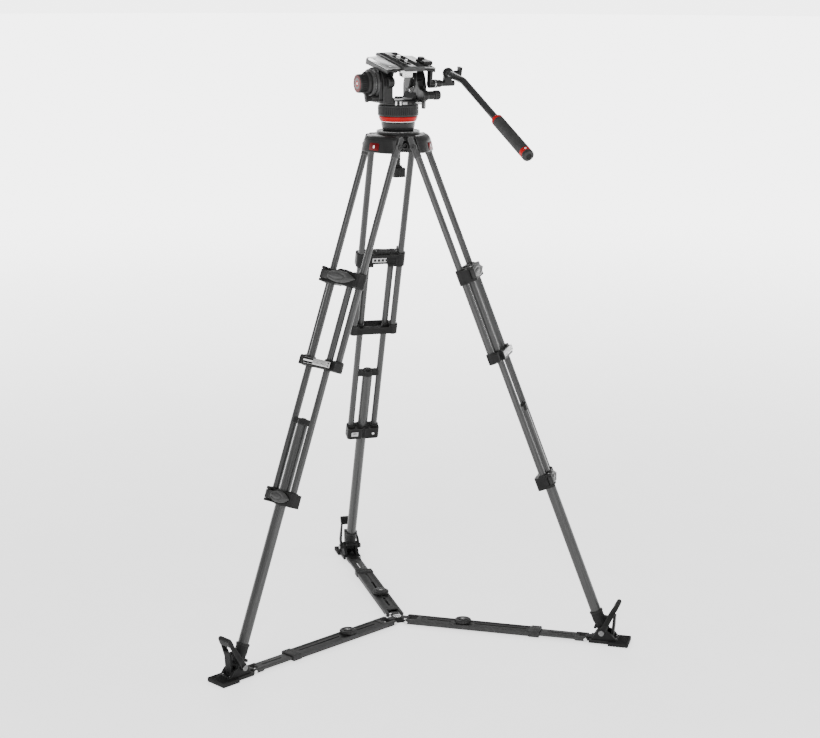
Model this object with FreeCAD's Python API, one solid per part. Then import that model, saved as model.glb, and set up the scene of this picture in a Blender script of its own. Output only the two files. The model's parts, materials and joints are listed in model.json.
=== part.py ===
"""Camera tripod with a fluid video head and a ground-level spreader.

Row frame: origin on the floor under the spreader hub, +Z up, +Y the way the camera looks,
+X to the operator's right. All sizes are in millimetres.

Three more frames are used below, each moved into the row frame when a piece is written:
  leg frame     X outward from the leg's face, Y across the leg, Z up the leg, origin at its top hinge
  radial frame  X outward along the floor under one leg, Y across it, Z up, origin at the row origin
  head frame    the row frame before the camera platform is tipped about the tilt axis
"""
import FreeCAD
import Part

import math
import os

V = FreeCAD.Vector
X_AXIS = V(1, 0, 0)
Y_AXIS = V(0, 1, 0)
Z_AXIS = V(0, 0, 1)

# ---- driving dimensions ----
LEG_AZIMUTHS = {"a": -162.0, "b": -42.0, "c": 78.0}
LEG_SPREAD = 21.34          # degrees between a leg and the vertical
HINGE_RADIUS = 49.24        # leg hinge from the tripod's axis
HINGE_HEIGHT = 1116.0

RUNNING = 0.06              # radial clearance of pins in their bores
SLIDING = 0.35              # clearance of tubes in their guides

UPPER_TUBE_R = 7.5
UPPER_TUBE_WALL = 1.2
UPPER_SPACING = 47.0        # half the distance between the twin upper tubes
MIDDLE_SPACING = 29.0       # half the distance between the twin middle tubes
STAGE_OFFSET = 10.5         # the middle and lower stages lie outward of the upper tubes
LOWER_TUBE_R = 12.0
LOWER_TUBE_WALL = 1.5

UPPER_TOP = -11.0           # heights up the leg, from the hinge
UPPER_BOTTOM = -505.0
CLAMP_1 = (-321.0, -286.0)  # clamp at the top of the middle stage
BRACKET_2 = (-508.0, -483.0)
CLAMP_3 = (-815.0, -781.0)
MIDDLE_TOP = -292.0
MIDDLE_BOTTOM = -806.0
BRIDGE = (-635.0, -621.0)
BRIDGE_R = 12.5
BOOT_RIM = -1122.0
BOOT_END = -1158.0
LOWER_TOP = -635.0
LOWER_BOTTOM = -1150.0
FOOT_PIVOT_W = -1170.6
FOOT_PIVOT_R = 485.0        # the foot pivot in the radial frame
FOOT_PIVOT_Z = 29.5

HEAD_HALF = 7.5             # half the width of a leg head across the leg
HEAD_TOP = 24.0             # a leg head stands this far above its hinge
HINGE_PIN_R = 3.5
FOOT_BOLT_R = 4.0
ARM_PIN_R = 3.0
ARM_PIN_AT = (448.0, 7.4)   # hinge of spreader arm and shoe, radius and height
HUB_PIN_AT = (26.0, 7.4)    # hinge of spreader arm and hub
KNOB_AT = 158.0

CROWN_TOP = 1146.0
BALL_R = 37.5
BALL_CENTRE = 1163.0
CUP_R = 57.0                # underside of the bowl, a sphere about the ball's centre
BASE_BOTTOM = 1178.5        # drag ring
BASE_TOP = 1203.0
TILT_AXIS = 1251.0
PLATFORM_TIP = 10.0         # degrees, front of the platform up
AXLE_R = 9.0
PLATE_TOP = 51.0            # above the tilt axis, before tipping
ROSETTE = (-40.0, 4.5)      # pan bar rosette in the head frame, from the tilt axis


# ---- small helpers ----
def box(x, y, z):
    """A box between (low, high) pairs."""
    return Part.makeBox(x[1] - x[0], y[1] - y[0], z[1] - z[0], V(x[0], y[0], z[0]))


def along_x(radius, x, y, z):
    return Part.makeCylinder(radius, x[1] - x[0], V(x[0], y, z), X_AXIS)


def along_y(radius, y, x, z):
    return Part.makeCylinder(radius, y[1] - y[0], V(x, y[0], z), Y_AXIS)


def along_z(radius, z, x=0.0, y=0.0):
    return Part.makeCylinder(radius, z[1] - z[0], V(x, y, z[0]), Z_AXIS)


def sphere(radius, z):
    return Part.makeSphere(radius, V(0, 0, z))


def fuse(shapes):
    joined = shapes[0]
    if len(shapes) > 1:
        joined = joined.fuse(list(shapes[1:]))
    return joined.removeSplitter()


def cut(shape, tools):
    return shape.cut(list(tools)).removeSplitter()


def plate(points, normal, low, high):
    """A polygon of (p, q) points drawn across a normal axis and extruded from low to high.

    Across Y the points are (x, z), across X they are (y, z), across Z they are (x, y).
    """
    place = {
        "x": lambda p, q: V(low, p, q),
        "y": lambda p, q: V(p, low, q),
        "z": lambda p, q: V(p, q, low),
    }[normal]
    axis = {"x": X_AXIS, "y": Y_AXIS, "z": Z_AXIS}[normal]
    corners = [place(p, q) for p, q in points]
    face = Part.Face(Part.makePolygon(corners + corners[:1]))
    return face.extrude(axis * (high - low))


def rounded(shape, radius, axis):
    """Fillet the straight edges that run along one axis."""
    edges = [e for e in shape.Edges
             if isinstance(e.Curve, Part.Line) and abs(abs(e.Curve.Direction.dot(axis)) - 1) < 1e-6]
    return shape.makeFillet(radius, edges)


def capsule(normal, low, high, start, end, radius):
    """A bar with round ends between two (p, q) points, extruded across the normal axis."""
    dp = end[0] - start[0]
    dq = end[1] - start[1]
    length = math.hypot(dp, dq)
    side = (-dq / length * radius, dp / length * radius)
    corners = [(start[0] + side[0], start[1] + side[1]), (end[0] + side[0], end[1] + side[1]),
               (end[0] - side[0], end[1] - side[1]), (start[0] - side[0], start[1] - side[1])]
    if normal == "z":
        rounds = [along_z(radius, (low, high), p, q) for p, q in (start, end)]
    elif normal == "y":
        rounds = [along_y(radius, (low, high), p, q) for p, q in (start, end)]
    else:
        rounds = [along_x(radius, (low, high), p, q) for p, q in (start, end)]
    return fuse([plate(corners, normal, low, high)] + rounds)


def mirrored_pair(make):
    """The pieces that make(side) returns for both sides of a leg."""
    return [make(-1.0), make(1.0)]


# ---- frames ----
def from_leg(shape, leg):
    moved = shape.copy()
    moved.rotate(V(0, 0, 0), Y_AXIS, -LEG_SPREAD)
    moved.translate(V(HINGE_RADIUS, 0, HINGE_HEIGHT))
    moved.rotate(V(0, 0, 0), Z_AXIS, LEG_AZIMUTHS[leg])
    return moved


def from_radial(shape, leg):
    moved = shape.copy()
    moved.rotate(V(0, 0, 0), Z_AXIS, LEG_AZIMUTHS[leg])
    return moved


def from_head(shape):
    moved = shape.copy()
    moved.translate(V(0, 0, TILT_AXIS))
    moved.rotate(V(0, 0, TILT_AXIS), X_AXIS, PLATFORM_TIP)
    return moved


def write(name, shapes):
    solids = []
    for shape in shapes:
        solids.extend(shape.Solids)
    whole = solids[0] if len(solids) == 1 else Part.makeCompound(solids)
    whole.exportStep("parts/" + name + ".step")


# ---- leg, upper stage ----
def leg_head(side):
    """Casting on the top of one upper tube. It turns on the hinge pin and stands on above it."""
    u = side * UPPER_SPACING
    width = (u - HEAD_HALF, u + HEAD_HALF)
    socket = along_z(8.2, (-26.0, -2.0), 0, u)
    knuckle = along_y(8.0, width, 0, 0)
    horn = capsule("y", width[0], width[1], (0, 0), (0, HEAD_TOP - 6.5), 6.5)
    bore = along_z(UPPER_TUBE_R, (-40.0, UPPER_TOP), 0, u)
    pin = along_y(HINGE_PIN_R + RUNNING, (u - 10, u + 10), 0, 0)
    return cut(fuse([socket, knuckle, horn]), [bore, pin])


def frame_body(half_width, depth, heights, corner):
    return rounded(box(depth, (-half_width, half_width), heights), corner, Z_AXIS)


def bottom_bracket():
    """Bracket that closes the upper tubes, guides the middle tubes and lets the bridge pass."""
    body = frame_body(58.0, (-10.0, 26.5), BRACKET_2, 8.0)
    holes = [along_z(UPPER_TUBE_R, (UPPER_BOTTOM, BRACKET_2[1]), 0, s * UPPER_SPACING) for s in (-1, 1)]
    holes += [along_z(UPPER_TUBE_R + SLIDING, BRACKET_2, STAGE_OFFSET, s * MIDDLE_SPACING)
              for s in (-1, 1)]
    way = [box((STAGE_OFFSET - 9.5, STAGE_OFFSET + 9.5), (-27.0, 27.0), BRACKET_2),
           along_z(BRIDGE_R + 1.0, BRACKET_2, STAGE_OFFSET, 0)]
    corners = [box((18.0, 30.0), (s * 50 - 10, s * 50 + 10), BRACKET_2) for s in (-1, 1)]
    return cut(body, holes + way + corners)


def tube(radius, wall, heights, v, u):
    return along_z(radius, heights, v, u).cut(along_z(radius - wall, heights, v, u))


def upper_tube(side):
    return tube(UPPER_TUBE_R, UPPER_TUBE_WALL, (UPPER_BOTTOM, UPPER_TOP), 0, side * UPPER_SPACING)


# ---- leg, middle stage ----
LEVER_FACE = 22.0           # outward face of a clamp
LEVER_PIVOT_V = 26.0
LEVER_HUB_R = 5.5
TRUNNION_R = 2.5


def clamp_body(half_width, heights, pivot_u, guides, sockets, window=None):
    """Clamp casting with two ears that carry the lock lever's trunnions."""
    ear_height = 6.0
    body = frame_body(half_width, (-10.0, LEVER_FACE), heights, 7.0)
    low = (heights[0] + 1.0, heights[0] + 1.0 + ear_height)
    high = (heights[1] - 1.0 - ear_height, heights[1] - 1.0)
    ears = []
    for span in (low, high):
        ears.append(along_z(LEVER_HUB_R, span, LEVER_PIVOT_V, pivot_u))
        ears.append(box((LEVER_FACE - 4, LEVER_PIVOT_V), (pivot_u - LEVER_HUB_R, pivot_u + LEVER_HUB_R), span))
    gap = along_z(LEVER_HUB_R + 1.0, (low[1], high[0]), LEVER_PIVOT_V, pivot_u)
    pin = along_z(TRUNNION_R + RUNNING, (heights[0], heights[1]), LEVER_PIVOT_V, pivot_u)
    tools = [gap, pin] + [along_z(r, heights, v, u) for r, v, u in guides]
    tools += [along_z(r, span, v, u) for r, span, v, u in sockets]
    if window:
        tools.append(window)
    return cut(fuse([body] + ears), tools)


def top_clamp():
    guides = [(UPPER_TUBE_R + SLIDING, 0, s * UPPER_SPACING) for s in (-1, 1)]
    sockets = [(UPPER_TUBE_R, (CLAMP_1[0], MIDDLE_TOP), STAGE_OFFSET, s * MIDDLE_SPACING) for s in (-1, 1)]
    recess = box((-11.0, 4.0), (-17.0, 17.0), (CLAMP_1[0] - 1, CLAMP_1[1] - 14))
    return clamp_body(58.0, CLAMP_1, -48.0, guides, sockets, recess)


def lower_clamp():
    guides = [(LOWER_TUBE_R + SLIDING, STAGE_OFFSET, 0)]
    sockets = [(UPPER_TUBE_R, (MIDDLE_BOTTOM, CLAMP_3[1]), STAGE_OFFSET, s * MIDDLE_SPACING)
               for s in (-1, 1)]
    return clamp_body(40.0, CLAMP_3, -33.0, guides, sockets)


def middle_tube(side):
    return tube(UPPER_TUBE_R, UPPER_TUBE_WALL, (MIDDLE_BOTTOM, MIDDLE_TOP), STAGE_OFFSET,
                side * MIDDLE_SPACING)


def lock_lever(heights, pivot_u, tip_u):
    """Leaf-shaped quick lock: hub between the ears, blade across the clamp's face."""
    middle = (heights[0] + heights[1]) / 2
    hub_span = (heights[0] + 7.6, heights[1] - 7.6)
    hub = along_z(LEVER_HUB_R, hub_span, LEVER_PIVOT_V, pivot_u)
    trunnions = along_z(TRUNNION_R, (heights[0] + 1.5, heights[1] - 1.5), LEVER_PIVOT_V, pivot_u)
    root = box((LEVER_FACE + 0.8, LEVER_FACE + 7.5), (pivot_u, pivot_u + 12), hub_span)
    half = 13.0
    length = tip_u - pivot_u
    outline = [(pivot_u + 9, middle - 8), (pivot_u + 9, middle + 8), (pivot_u + 0.3 * length, middle + half),
               (pivot_u + 0.62 * length, middle + half - 1.5), (pivot_u + 0.88 * length, middle + 6.5),
               (tip_u, middle), (pivot_u + 0.88 * length, middle - 6.5),
               (pivot_u + 0.62 * length, middle - half + 1.5), (pivot_u + 0.3 * length, middle - half)]
    blade = plate(outline, "x", LEVER_FACE + 0.8, LEVER_FACE + 8.5)
    groove = capsule("x", LEVER_FACE + 6.5, LEVER_FACE + 9.0, (pivot_u + 16, middle),
                     (pivot_u + 0.5 * length, middle), 4.5)
    return cut(fuse([hub, trunnions, root, blade]), [groove])


# ---- leg, lower stage ----
def bridge():
    """Guide block on the top of the lower tube, between the middle tubes."""
    body = box((STAGE_OFFSET - 8.5, STAGE_OFFSET + 8.5), (-26.0, 26.0), BRIDGE)
    round_part = along_z(BRIDGE_R, BRIDGE, STAGE_OFFSET, 0)
    plug = along_z(LOWER_TUBE_R - LOWER_TUBE_WALL, (BRIDGE[0] - 18.0, BRIDGE[0]), STAGE_OFFSET, 0)
    guides = [along_z(UPPER_TUBE_R + SLIDING, BRIDGE, STAGE_OFFSET, s * MIDDLE_SPACING) for s in (-1, 1)]
    return cut(fuse([body, round_part, plug]), guides)


def boot():
    """Casting on the foot of the lower tube, with the knuckle that the shoe's bolt passes."""
    v = STAGE_OFFSET
    sleeve = along_z(14.2, (BOOT_END, BOOT_RIM), v, 0)
    neck = box((v - 9.0, v + 9.0), (-10.0, 10.0), (FOOT_PIVOT_W, BOOT_END + 4))
    knuckle = along_y(10.5, (-10.0, 10.0), v, FOOT_PIVOT_W)
    horn = plate([(v + 4, -1128.0), (v + 10, -1128.0), (v + 14, -1139.0), (v + 27, -1146.0),
                  (v + 27, -1151.0), (v + 8, FOOT_PIVOT_W), (v, FOOT_PIVOT_W)], "y", -5.0, 5.0)
    catch = along_y(3.6, (-14.0, 14.0), v - 12.0, BOOT_END + 1.0)
    socket = along_z(LOWER_TUBE_R, (LOWER_BOTTOM, BOOT_RIM + 1), v, 0)
    bolt = along_y(FOOT_BOLT_R + RUNNING, (-12.0, 12.0), v, FOOT_PIVOT_W)
    return cut(fuse([sleeve, neck, knuckle, horn, catch]), [socket, bolt])


def lower_tube():
    return tube(LOWER_TUBE_R, LOWER_TUBE_WALL, (LOWER_BOTTOM, LOWER_TOP), STAGE_OFFSET, 0)


# ---- foot ----
PAD_R = (500.0, 546.5)
PAD_TOP = 11.0


def shoe():
    """Forked shoe: base, two cheeks, toe plate, keeper and the tongue of the arm hinge."""
    r, z = FOOT_PIVOT_R, FOOT_PIVOT_Z
    base = box((456.0, PAD_R[0]), (-23.0, 23.0), (2.5, 11.0))
    toe = box((PAD_R[0] - 4, 522.0), (-18.0, 18.0), (PAD_TOP, 14.0))
    cheeks = []
    for s in (-1, 1):
        u = (s * 15 - 3.9, s * 15 + 3.9)
        cheeks.append(plate([(460, 10), (508, 10), (r + 11, z + 4), (r - 11, z + 4)], "y", u[0], u[1]))
        cheeks.append(along_y(12.0, u, r, z))
    keeper = plate([(504, 12), (510, 12), (514, 66), (510.5, 68), (508, 62)], "y", -9.0, 9.0)
    tongue = capsule("y", -9.5, 9.5, (462.0, 7.4), ARM_PIN_AT, 5.6)
    hole = along_y(ARM_PIN_R, (-12, 12), ARM_PIN_AT[0], ARM_PIN_AT[1])
    bolt_hole = along_y(FOOT_BOLT_R, (-20, 20), r, z)
    return cut(fuse([base, toe] + cheeks + [keeper, tongue]), [hole, bolt_hole])


def foot_bolt():
    """Through bolt of the foot pivot with its two heads."""
    r, z = FOOT_PIVOT_R, FOOT_PIVOT_Z
    heads = [along_y(6.5, (min(s * 25.6, s * 28.4), max(s * 25.6, s * 28.4)), r, z) for s in (-1, 1)]
    return fuse([along_y(FOOT_BOLT_R, (-26.0, 26.0), r, z)] + heads)


def arm_pin():
    r, z = ARM_PIN_AT
    heads = [along_y(4.2, (min(s * 16.6, s * 19.6), max(s * 16.6, s * 19.6)), r, z) for s in (-1, 1)]
    return fuse([along_y(ARM_PIN_R, (-17.0, 17.0), r, z)] + heads)


def pad():
    """Rubber sole with a raised rim."""
    body = rounded(box(PAD_R, (-28.0, 28.0), (0.0, PAD_TOP)), 3.0, Z_AXIS)
    tray = box((526.0, 543.0), (-24.0, 24.0), (PAD_TOP - 1.2, PAD_TOP + 1))
    return cut(body, [tray])


def foot_lever():
    """Bail lever: two side plates on the foot bolt, joined by a wide handle."""
    start = (FOOT_PIVOT_R, FOOT_PIVOT_Z)
    end = (518.0, 95.0)
    near_end = (514.0, 87.0)
    sides = [capsule("y", s * 22.5 - 2.7, s * 22.5 + 2.7, start, near_end, 6.5) for s in (-1, 1)]
    handle = capsule("y", -25.2, 25.2, near_end, end, 6.0)
    bore = along_y(FOOT_BOLT_R + RUNNING, (-27, 27), start[0], start[1])
    return cut(fuse(sides + [handle]), [bore])


# ---- spreader ----
ARM_HALF = 20.0
ARM_BOTTOM = 2.5
ARM_TOP = 14.0
INNER_HALF = 16.0
INNER_Z = (4.6, 11.0)
TAIL_START = 117.0
TAIL_HALF = 12.0


def hub():
    """Three-way hub. One tongue is pinned; the other two are slotted, open outward."""
    parts = [along_z(13.0, (0.0, 14.0))]
    tools = []
    for leg, azimuth in LEG_AZIMUTHS.items():
        tongue = capsule("y", -8.0, 8.0, (4.0, HUB_PIN_AT[1]), HUB_PIN_AT, 6.4)
        tongue.rotate(V(0, 0, 0), Z_AXIS, azimuth)
        parts.append(tongue)
        if leg == "a":
            hole = along_y(ARM_PIN_R + RUNNING, (-12, 12), HUB_PIN_AT[0], HUB_PIN_AT[1])
        else:
            hole = box((15.0, 40.0), (-12.0, 12.0), (HUB_PIN_AT[1] - 4.2, HUB_PIN_AT[1] + 4.2))
        hole.rotate(V(0, 0, 0), Z_AXIS, azimuth)
        tools.append(hole)
    return cut(fuse(parts), tools)


def outer_arm():
    """Sleeve of a spreader arm: a flat tube with sight slots, a collar and a forked inner end."""
    sleeve = box((45.0, 330.0), (-ARM_HALF, ARM_HALF), (ARM_BOTTOM, ARM_TOP))
    collar = rounded(box((316.0, 341.0), (-ARM_HALF - 1.6, ARM_HALF + 1.6), (1.6, 15.6)), 2.0, X_AXIS)
    ears = []
    for s in (-1, 1):
        u = (s * 16.5 - 3.5, s * 16.5 + 3.5)
        ears.append(capsule("y", u[0], u[1], (60.0, 8.25), (HUB_PIN_AT[0], 8.25), 5.7))
    cavity = box((66.0, 345.0), (-INNER_HALF - SLIDING, INNER_HALF + SLIDING), (4.2, 11.4))
    tail_way = box((40.0, 67.0), (-TAIL_HALF - SLIDING, TAIL_HALF + SLIDING), (4.2, 11.4))
    slots = [capsule("z", 11.0, 16.0, (low, 0), (high, 0), 2.6) for low, high in ((56, 128), (188, 306))]
    bolt = along_z(3.4, (0, 20), KNOB_AT)
    pin_holes = along_y(ARM_PIN_R, (-22, 22), HUB_PIN_AT[0], HUB_PIN_AT[1])
    return cut(fuse([sleeve, collar] + ears), [cavity, tail_way, bolt, pin_holes] + slots)


def hub_pin():
    r, z = HUB_PIN_AT
    heads = [along_y(4.2, (min(s * 20.0, s * 22.2), max(s * 20.0, s * 22.2)), r, z) for s in (-1, 1)]
    return fuse([along_y(ARM_PIN_R, (-20.5, 20.5), r, z)] + heads)


def inner_arm():
    """Sliding strip of a spreader arm with the fork that takes the shoe's tongue."""
    strip = box((150.0, 432.0), (-INNER_HALF, INNER_HALF), INNER_Z)
    tail = box((TAIL_START, 151.0), (-TAIL_HALF, TAIL_HALF), INNER_Z)
    ears = []
    for s in (-1, 1):
        u = (s * 13.1 - 2.9, s * 13.1 + 2.9)
        ears.append(capsule("y", u[0], u[1], (428.0, 7.4), ARM_PIN_AT, 5.4))
    travel_slot = capsule("z", 0.0, 20.0, (TAIL_START + 9.0, 0), (250.0, 0), 3.6)
    sight_slot = capsule("z", 0.0, 20.0, (362.0, 0), (414.0, 0), 2.6)
    pin_hole = along_y(ARM_PIN_R + RUNNING, (-20, 20), ARM_PIN_AT[0], ARM_PIN_AT[1])
    return cut(fuse([strip, tail] + ears), [travel_slot, sight_slot, pin_hole])


def arm_knob():
    """Clamp knob with finger scallops, on its bolt."""
    grip = along_z(19.5, (ARM_TOP + 0.8, ARM_TOP + 8.5), KNOB_AT)
    cap = along_z(12.0, (ARM_TOP + 8.0, ARM_TOP + 10.0), KNOB_AT)
    bolt = along_z(ARM_PIN_R, (3.2, ARM_TOP + 5), KNOB_AT)
    scallops = []
    for k in range(8):
        angle = math.radians(45 * k + 22.5)
        scallops.append(along_z(4.2, (ARM_TOP, ARM_TOP + 12), KNOB_AT + 22.0 * math.cos(angle),
                                22.0 * math.sin(angle)))
    return cut(fuse([grip, cap, bolt]), scallops)


# ---- crown ----
def lobe(levels):
    """A loft through (height, half outline) levels, each outline mirrored across the leg."""
    wires = []
    for height, half in levels:
        points = [V(r, u, height) for r, u in half]
        points += [V(r, -u, height) for r, u in reversed(half)]
        wires.append(Part.makePolygon(points + points[:1]))
    return Part.makeLoft(wires, True, True)


LOBE_OUTER = [(1102.0, [(20, 38.4), (59, 38.4), (69, 25), (75.5, 9)]),
              (1128.0, [(20, 38.4), (54, 38.4), (64, 24), (70, 8.5)]),
              (1139.0, [(20, 34), (44, 34), (54, 21), (60, 7)])]
LOBE_INNER = [(1101.0, [(8, 35.4), (56.4, 35.4), (66, 23.5), (72.3, 8.5)]),
              (1127.0, [(8, 35.2), (51.3, 35.2), (61, 22.5), (66.8, 8)]),
              (1136.0, [(8, 31), (41.5, 31), (51, 19.5), (56.8, 6.5)])]
HUB_WALL_R = 40.0
ACCESSORY_AZIMUTH = -102.0  # boss with a threaded hole, between legs a and b
ACCESSORY_R = 4.76
ACCESSORY_DEPTH = 10.0
ACCESSORY_MOUTH = 62.0      # from the tripod's axis
ACCESSORY_HEIGHT = 1117.0


def turned(shape, azimuth):
    shape.rotate(V(0, 0, 0), Z_AXIS, azimuth)
    return shape


def crown():
    """Bowl casting with a skirted lobe over each leg's hinge, between the leg's two heads."""
    outer = []
    inner = []
    ribs = []
    holes = []
    for azimuth in LEG_AZIMUTHS.values():
        outer.append(turned(lobe(LOBE_OUTER), azimuth))
        inner.append(turned(lobe(LOBE_INNER), azimuth))
        for s in (-1, 1):
            lug = box((28.0, 53.0), (s * 36.0 - 2.3, s * 36.0 + 2.3), (1106.0, 1127.0))
            ribs.append(turned(lug, azimuth))
        web = box((38.0, 50.0), (-1.5, 1.5), (1117.0, 1139.0))
        ledge = box((34.0, 56.0), (-3.2, 3.2), (1127.5, 1133.5))
        ribs.append(turned(web, azimuth + 60))
        ribs.append(turned(ledge, azimuth + 60))
        holes.append(turned(along_y(HINGE_PIN_R, (-59.0, 59.0), HINGE_RADIUS, HINGE_HEIGHT), azimuth))
    shell = cut(fuse(outer), inner)
    wall = along_z(HUB_WALL_R, (1100.0, 1141.0)).common(sphere(CUP_R, BALL_CENTRE))
    rim = Part.makeCone(50.0, 48.0, 5.0, V(0, 0, 1136.5)).fuse(along_z(48.0, (1141.5, CROWN_TOP)))
    boss = along_x(6.8, (38.0, ACCESSORY_MOUTH), 0, ACCESSORY_HEIGHT)
    body = fuse([shell, wall, rim, turned(boss, ACCESSORY_AZIMUTH)] + ribs)
    throat = along_z(21.0, (1112.0, 1140.0))
    rod_way = along_z(17.0, (1090.0, 1120.0))
    hole = along_x(ACCESSORY_R, (ACCESSORY_MOUTH - ACCESSORY_DEPTH, ACCESSORY_MOUTH), 0, ACCESSORY_HEIGHT)
    holes.append(turned(hole, ACCESSORY_AZIMUTH))
    return cut(body, [sphere(BALL_R, BALL_CENTRE), throat, rod_way] + holes)


def hinge_pin(azimuth):
    """Long pin through both leg heads and the lobe between them, with a cap on each end."""
    caps = [along_y(5.5, (min(s * 55.6, s * 58.0), max(s * 55.6, s * 58.0)), HINGE_RADIUS, HINGE_HEIGHT)
            for s in (-1, 1)]
    pin = fuse([along_y(HINGE_PIN_R, (-57.0, 57.0), HINGE_RADIUS, HINGE_HEIGHT)] + caps)
    return turned(pin, azimuth)


# ---- levelling ball and pan base ----
def half_ball():
    """Ball with its drum, turned in one piece with the pan spindle."""
    ball = sphere(BALL_R - RUNNING, BALL_CENTRE)
    ball = ball.cut(box((-60, 60), (-60, 60), (BALL_CENTRE, BALL_CENTRE + 60)))
    ball = ball.cut(box((-60, 60), (-60, 60), (BALL_CENTRE - 60, 1131.0)))
    flange = along_z(37.4, (BALL_CENTRE, 1166.0))
    taper = Part.makeCone(38.5, 43.0, 10.0, V(0, 0, 1166.0))
    drum = along_z(36.0, (1176.0, BASE_TOP - 0.6))
    lip = along_z(43.0, (1176.0, BASE_BOTTOM - 0.5))
    spindle = along_z(12.0, (1190.0, 1211.0))
    socket = along_z(5.0, (1130.0, 1150.0))
    return cut(fuse([ball, flange, taper, lip, drum, spindle]), [socket])


def leveling_rod():
    return along_z(5.0, (1060.0, 1150.0))


def clamp_cup():
    shell = sphere(CUP_R + 4.5, BALL_CENTRE).cut(sphere(CUP_R + 0.4, BALL_CENTRE))
    cup = shell.common(along_z(24.0, (1090.0, 1125.0)))
    return cut(cup, [along_z(5.0, (1080.0, 1130.0))])


def clamp_knob():
    """Hand knob of the bowl clamp, a rounded square with four finger grooves."""
    grip = rounded(box((-13.5, 13.5), (-13.5, 13.5), (1043.0, 1065.0)), 5.0, Z_AXIS)
    collar = along_z(9.0, (1064.0, 1069.0))
    bore = along_z(5.0 + RUNNING, (1058.0, 1070.0))
    grooves = [along_z(3.0, (1040.0, 1068.0), 15.2 * math.cos(a), 15.2 * math.sin(a))
               for a in [math.radians(90 * k) for k in range(4)]]
    return cut(fuse([grip, collar]), [bore] + grooves)


def drag_ring():
    """Fluted ring that sets the pan drag."""
    ring = along_z(45.0, (BASE_BOTTOM, BASE_TOP))
    flutes = []
    for k in range(36):
        angle = math.radians(10 * k)
        flutes.append(along_z(2.0, (BASE_BOTTOM + 3, BASE_TOP - 3), 46.0 * math.cos(angle),
                              46.0 * math.sin(angle)))
    return cut(ring, [along_z(36.4, (BASE_BOTTOM - 1, BASE_TOP + 1))] + flutes)


# ---- head ----
YOKE_FLOOR = 1213.0
UPRIGHT_IN = 29.0


def upright(x, depth, radius):
    """A slab between two x planes, rounded about the tilt axis."""
    slab = box(x, (-depth, depth), (YOKE_FLOOR - 4.0, TILT_AXIS))
    head = along_x(radius, x, 0, TILT_AXIS)
    top = head.common(box((-120, 120), (-depth, depth), (TILT_AXIS - 5, TILT_AXIS + 60)))
    return fuse([slab, top])


DIAL_AT = (-56.5, 1225.0)       # counterbalance dial, y and z, behind the right upright
LOCK_AT = (-18.0, 1219.5)       # tilt lock lever, y and z, on the left side
PAN_LOCK_AZIMUTH = -46.0        # pan lock lever, on the rear of the base
PAN_LOCK_Z = 1207.5


def yoke():
    """Pan body: base disc and two uprights that hold the tilt cartridges."""
    base = along_z(42.0, (BASE_TOP + 0.5, YOKE_FLOOR))
    floor = box((-60, 52), (-32, 32), (YOKE_FLOOR - 4.0, YOKE_FLOOR + 2))
    left = [upright((-53.0, -UPRIGHT_IN), 34.0, 33.0),
            upright((-60.0, -53.0), 28.0, 29.0),
            along_x(34.0, (-66.0, -60.0), 0, TILT_AXIS),
            along_x(31.0, (-74.5, -66.0), 0, TILT_AXIS),
            along_x(11.3, (-44.0, -UPRIGHT_IN), -34.0, TILT_AXIS + 3.0),
            along_x(6.5, (-74.9, -58.0), LOCK_AT[0], LOCK_AT[1])]
    right = [upright((UPRIGHT_IN, 52.0), 36.0, 33.0),
             along_x(11.5, (UPRIGHT_IN, 42.0), DIAL_AT[0], DIAL_AT[1]),
             box((UPRIGHT_IN, 42.0), (DIAL_AT[0], -30.0), (1216.0, 1236.0)),
             along_x(6.5, (40.0, 57.7), DIAL_AT[0], DIAL_AT[1])]
    spindles = [along_x(4.0, (57.0, 68.0), DIAL_AT[0], DIAL_AT[1]),
                along_x(5.0, (-90.0, -70.0), 0, TILT_AXIS),
                along_x(3.5, (-84.0, -60.0), LOCK_AT[0], LOCK_AT[1]),
                turned(along_x(3.8, (38.0, 56.0), 0, PAN_LOCK_Z), PAN_LOCK_AZIMUTH),
                turned(along_x(3.0, (55.0, 59.5), 0, PAN_LOCK_Z), PAN_LOCK_AZIMUTH)]
    bores = [along_x(AXLE_R + RUNNING, (-50.0, -20.0), 0, TILT_AXIS),
             along_x(AXLE_R + RUNNING, (20.0, 50.0), 0, TILT_AXIS),
             along_z(12.0 + RUNNING, (1200.0, 1212.0))]
    return cut(fuse([base, floor] + left + right + spindles), bores)


def dial():
    """Counterbalance dial behind the right upright, on a short neck."""
    y, z = DIAL_AT
    body = along_x(10.5, (58.3, 72.0), y, z)
    bore = along_x(4.0 + RUNNING, (57.0, 68.6), y, z)
    flutes = [along_x(1.2, (57.0, 69.0), y + 11.0 * math.cos(a), z + 11.0 * math.sin(a))
              for a in [math.radians(30 * k) for k in range(12)]]
    return cut(body, [bore] + flutes)


def tilt_drag_knob():
    """Knob of the tilt drag, coaxial with the tilt axis."""
    body = along_x(21.0, (-100.0, -75.2), 0, TILT_AXIS)
    waist = along_x(26.0, (-82.0, -75.2), 0, TILT_AXIS)
    bore = along_x(5.0 + RUNNING, (-91.0, -70.0), 0, TILT_AXIS)
    flutes = [along_x(1.8, (-98.0, -84.0), 21.9 * math.cos(a), TILT_AXIS + 21.9 * math.sin(a))
              for a in [math.radians(20 * k) for k in range(18)]]
    return cut(fuse([body, waist]), [bore] + flutes)


def tilt_lock_lever():
    y, z = LOCK_AT
    hub_part = along_x(6.0, (-84.0, -75.4), y, z)
    blade = capsule("x", -90.0, -83.0, (y, z + 6.5), (y - 3.0, z - 2.5), 5.5)
    bore = along_x(3.5 + RUNNING, (-84.5, -60.0), y, z)
    return cut(fuse([hub_part, blade]), [bore])


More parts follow.
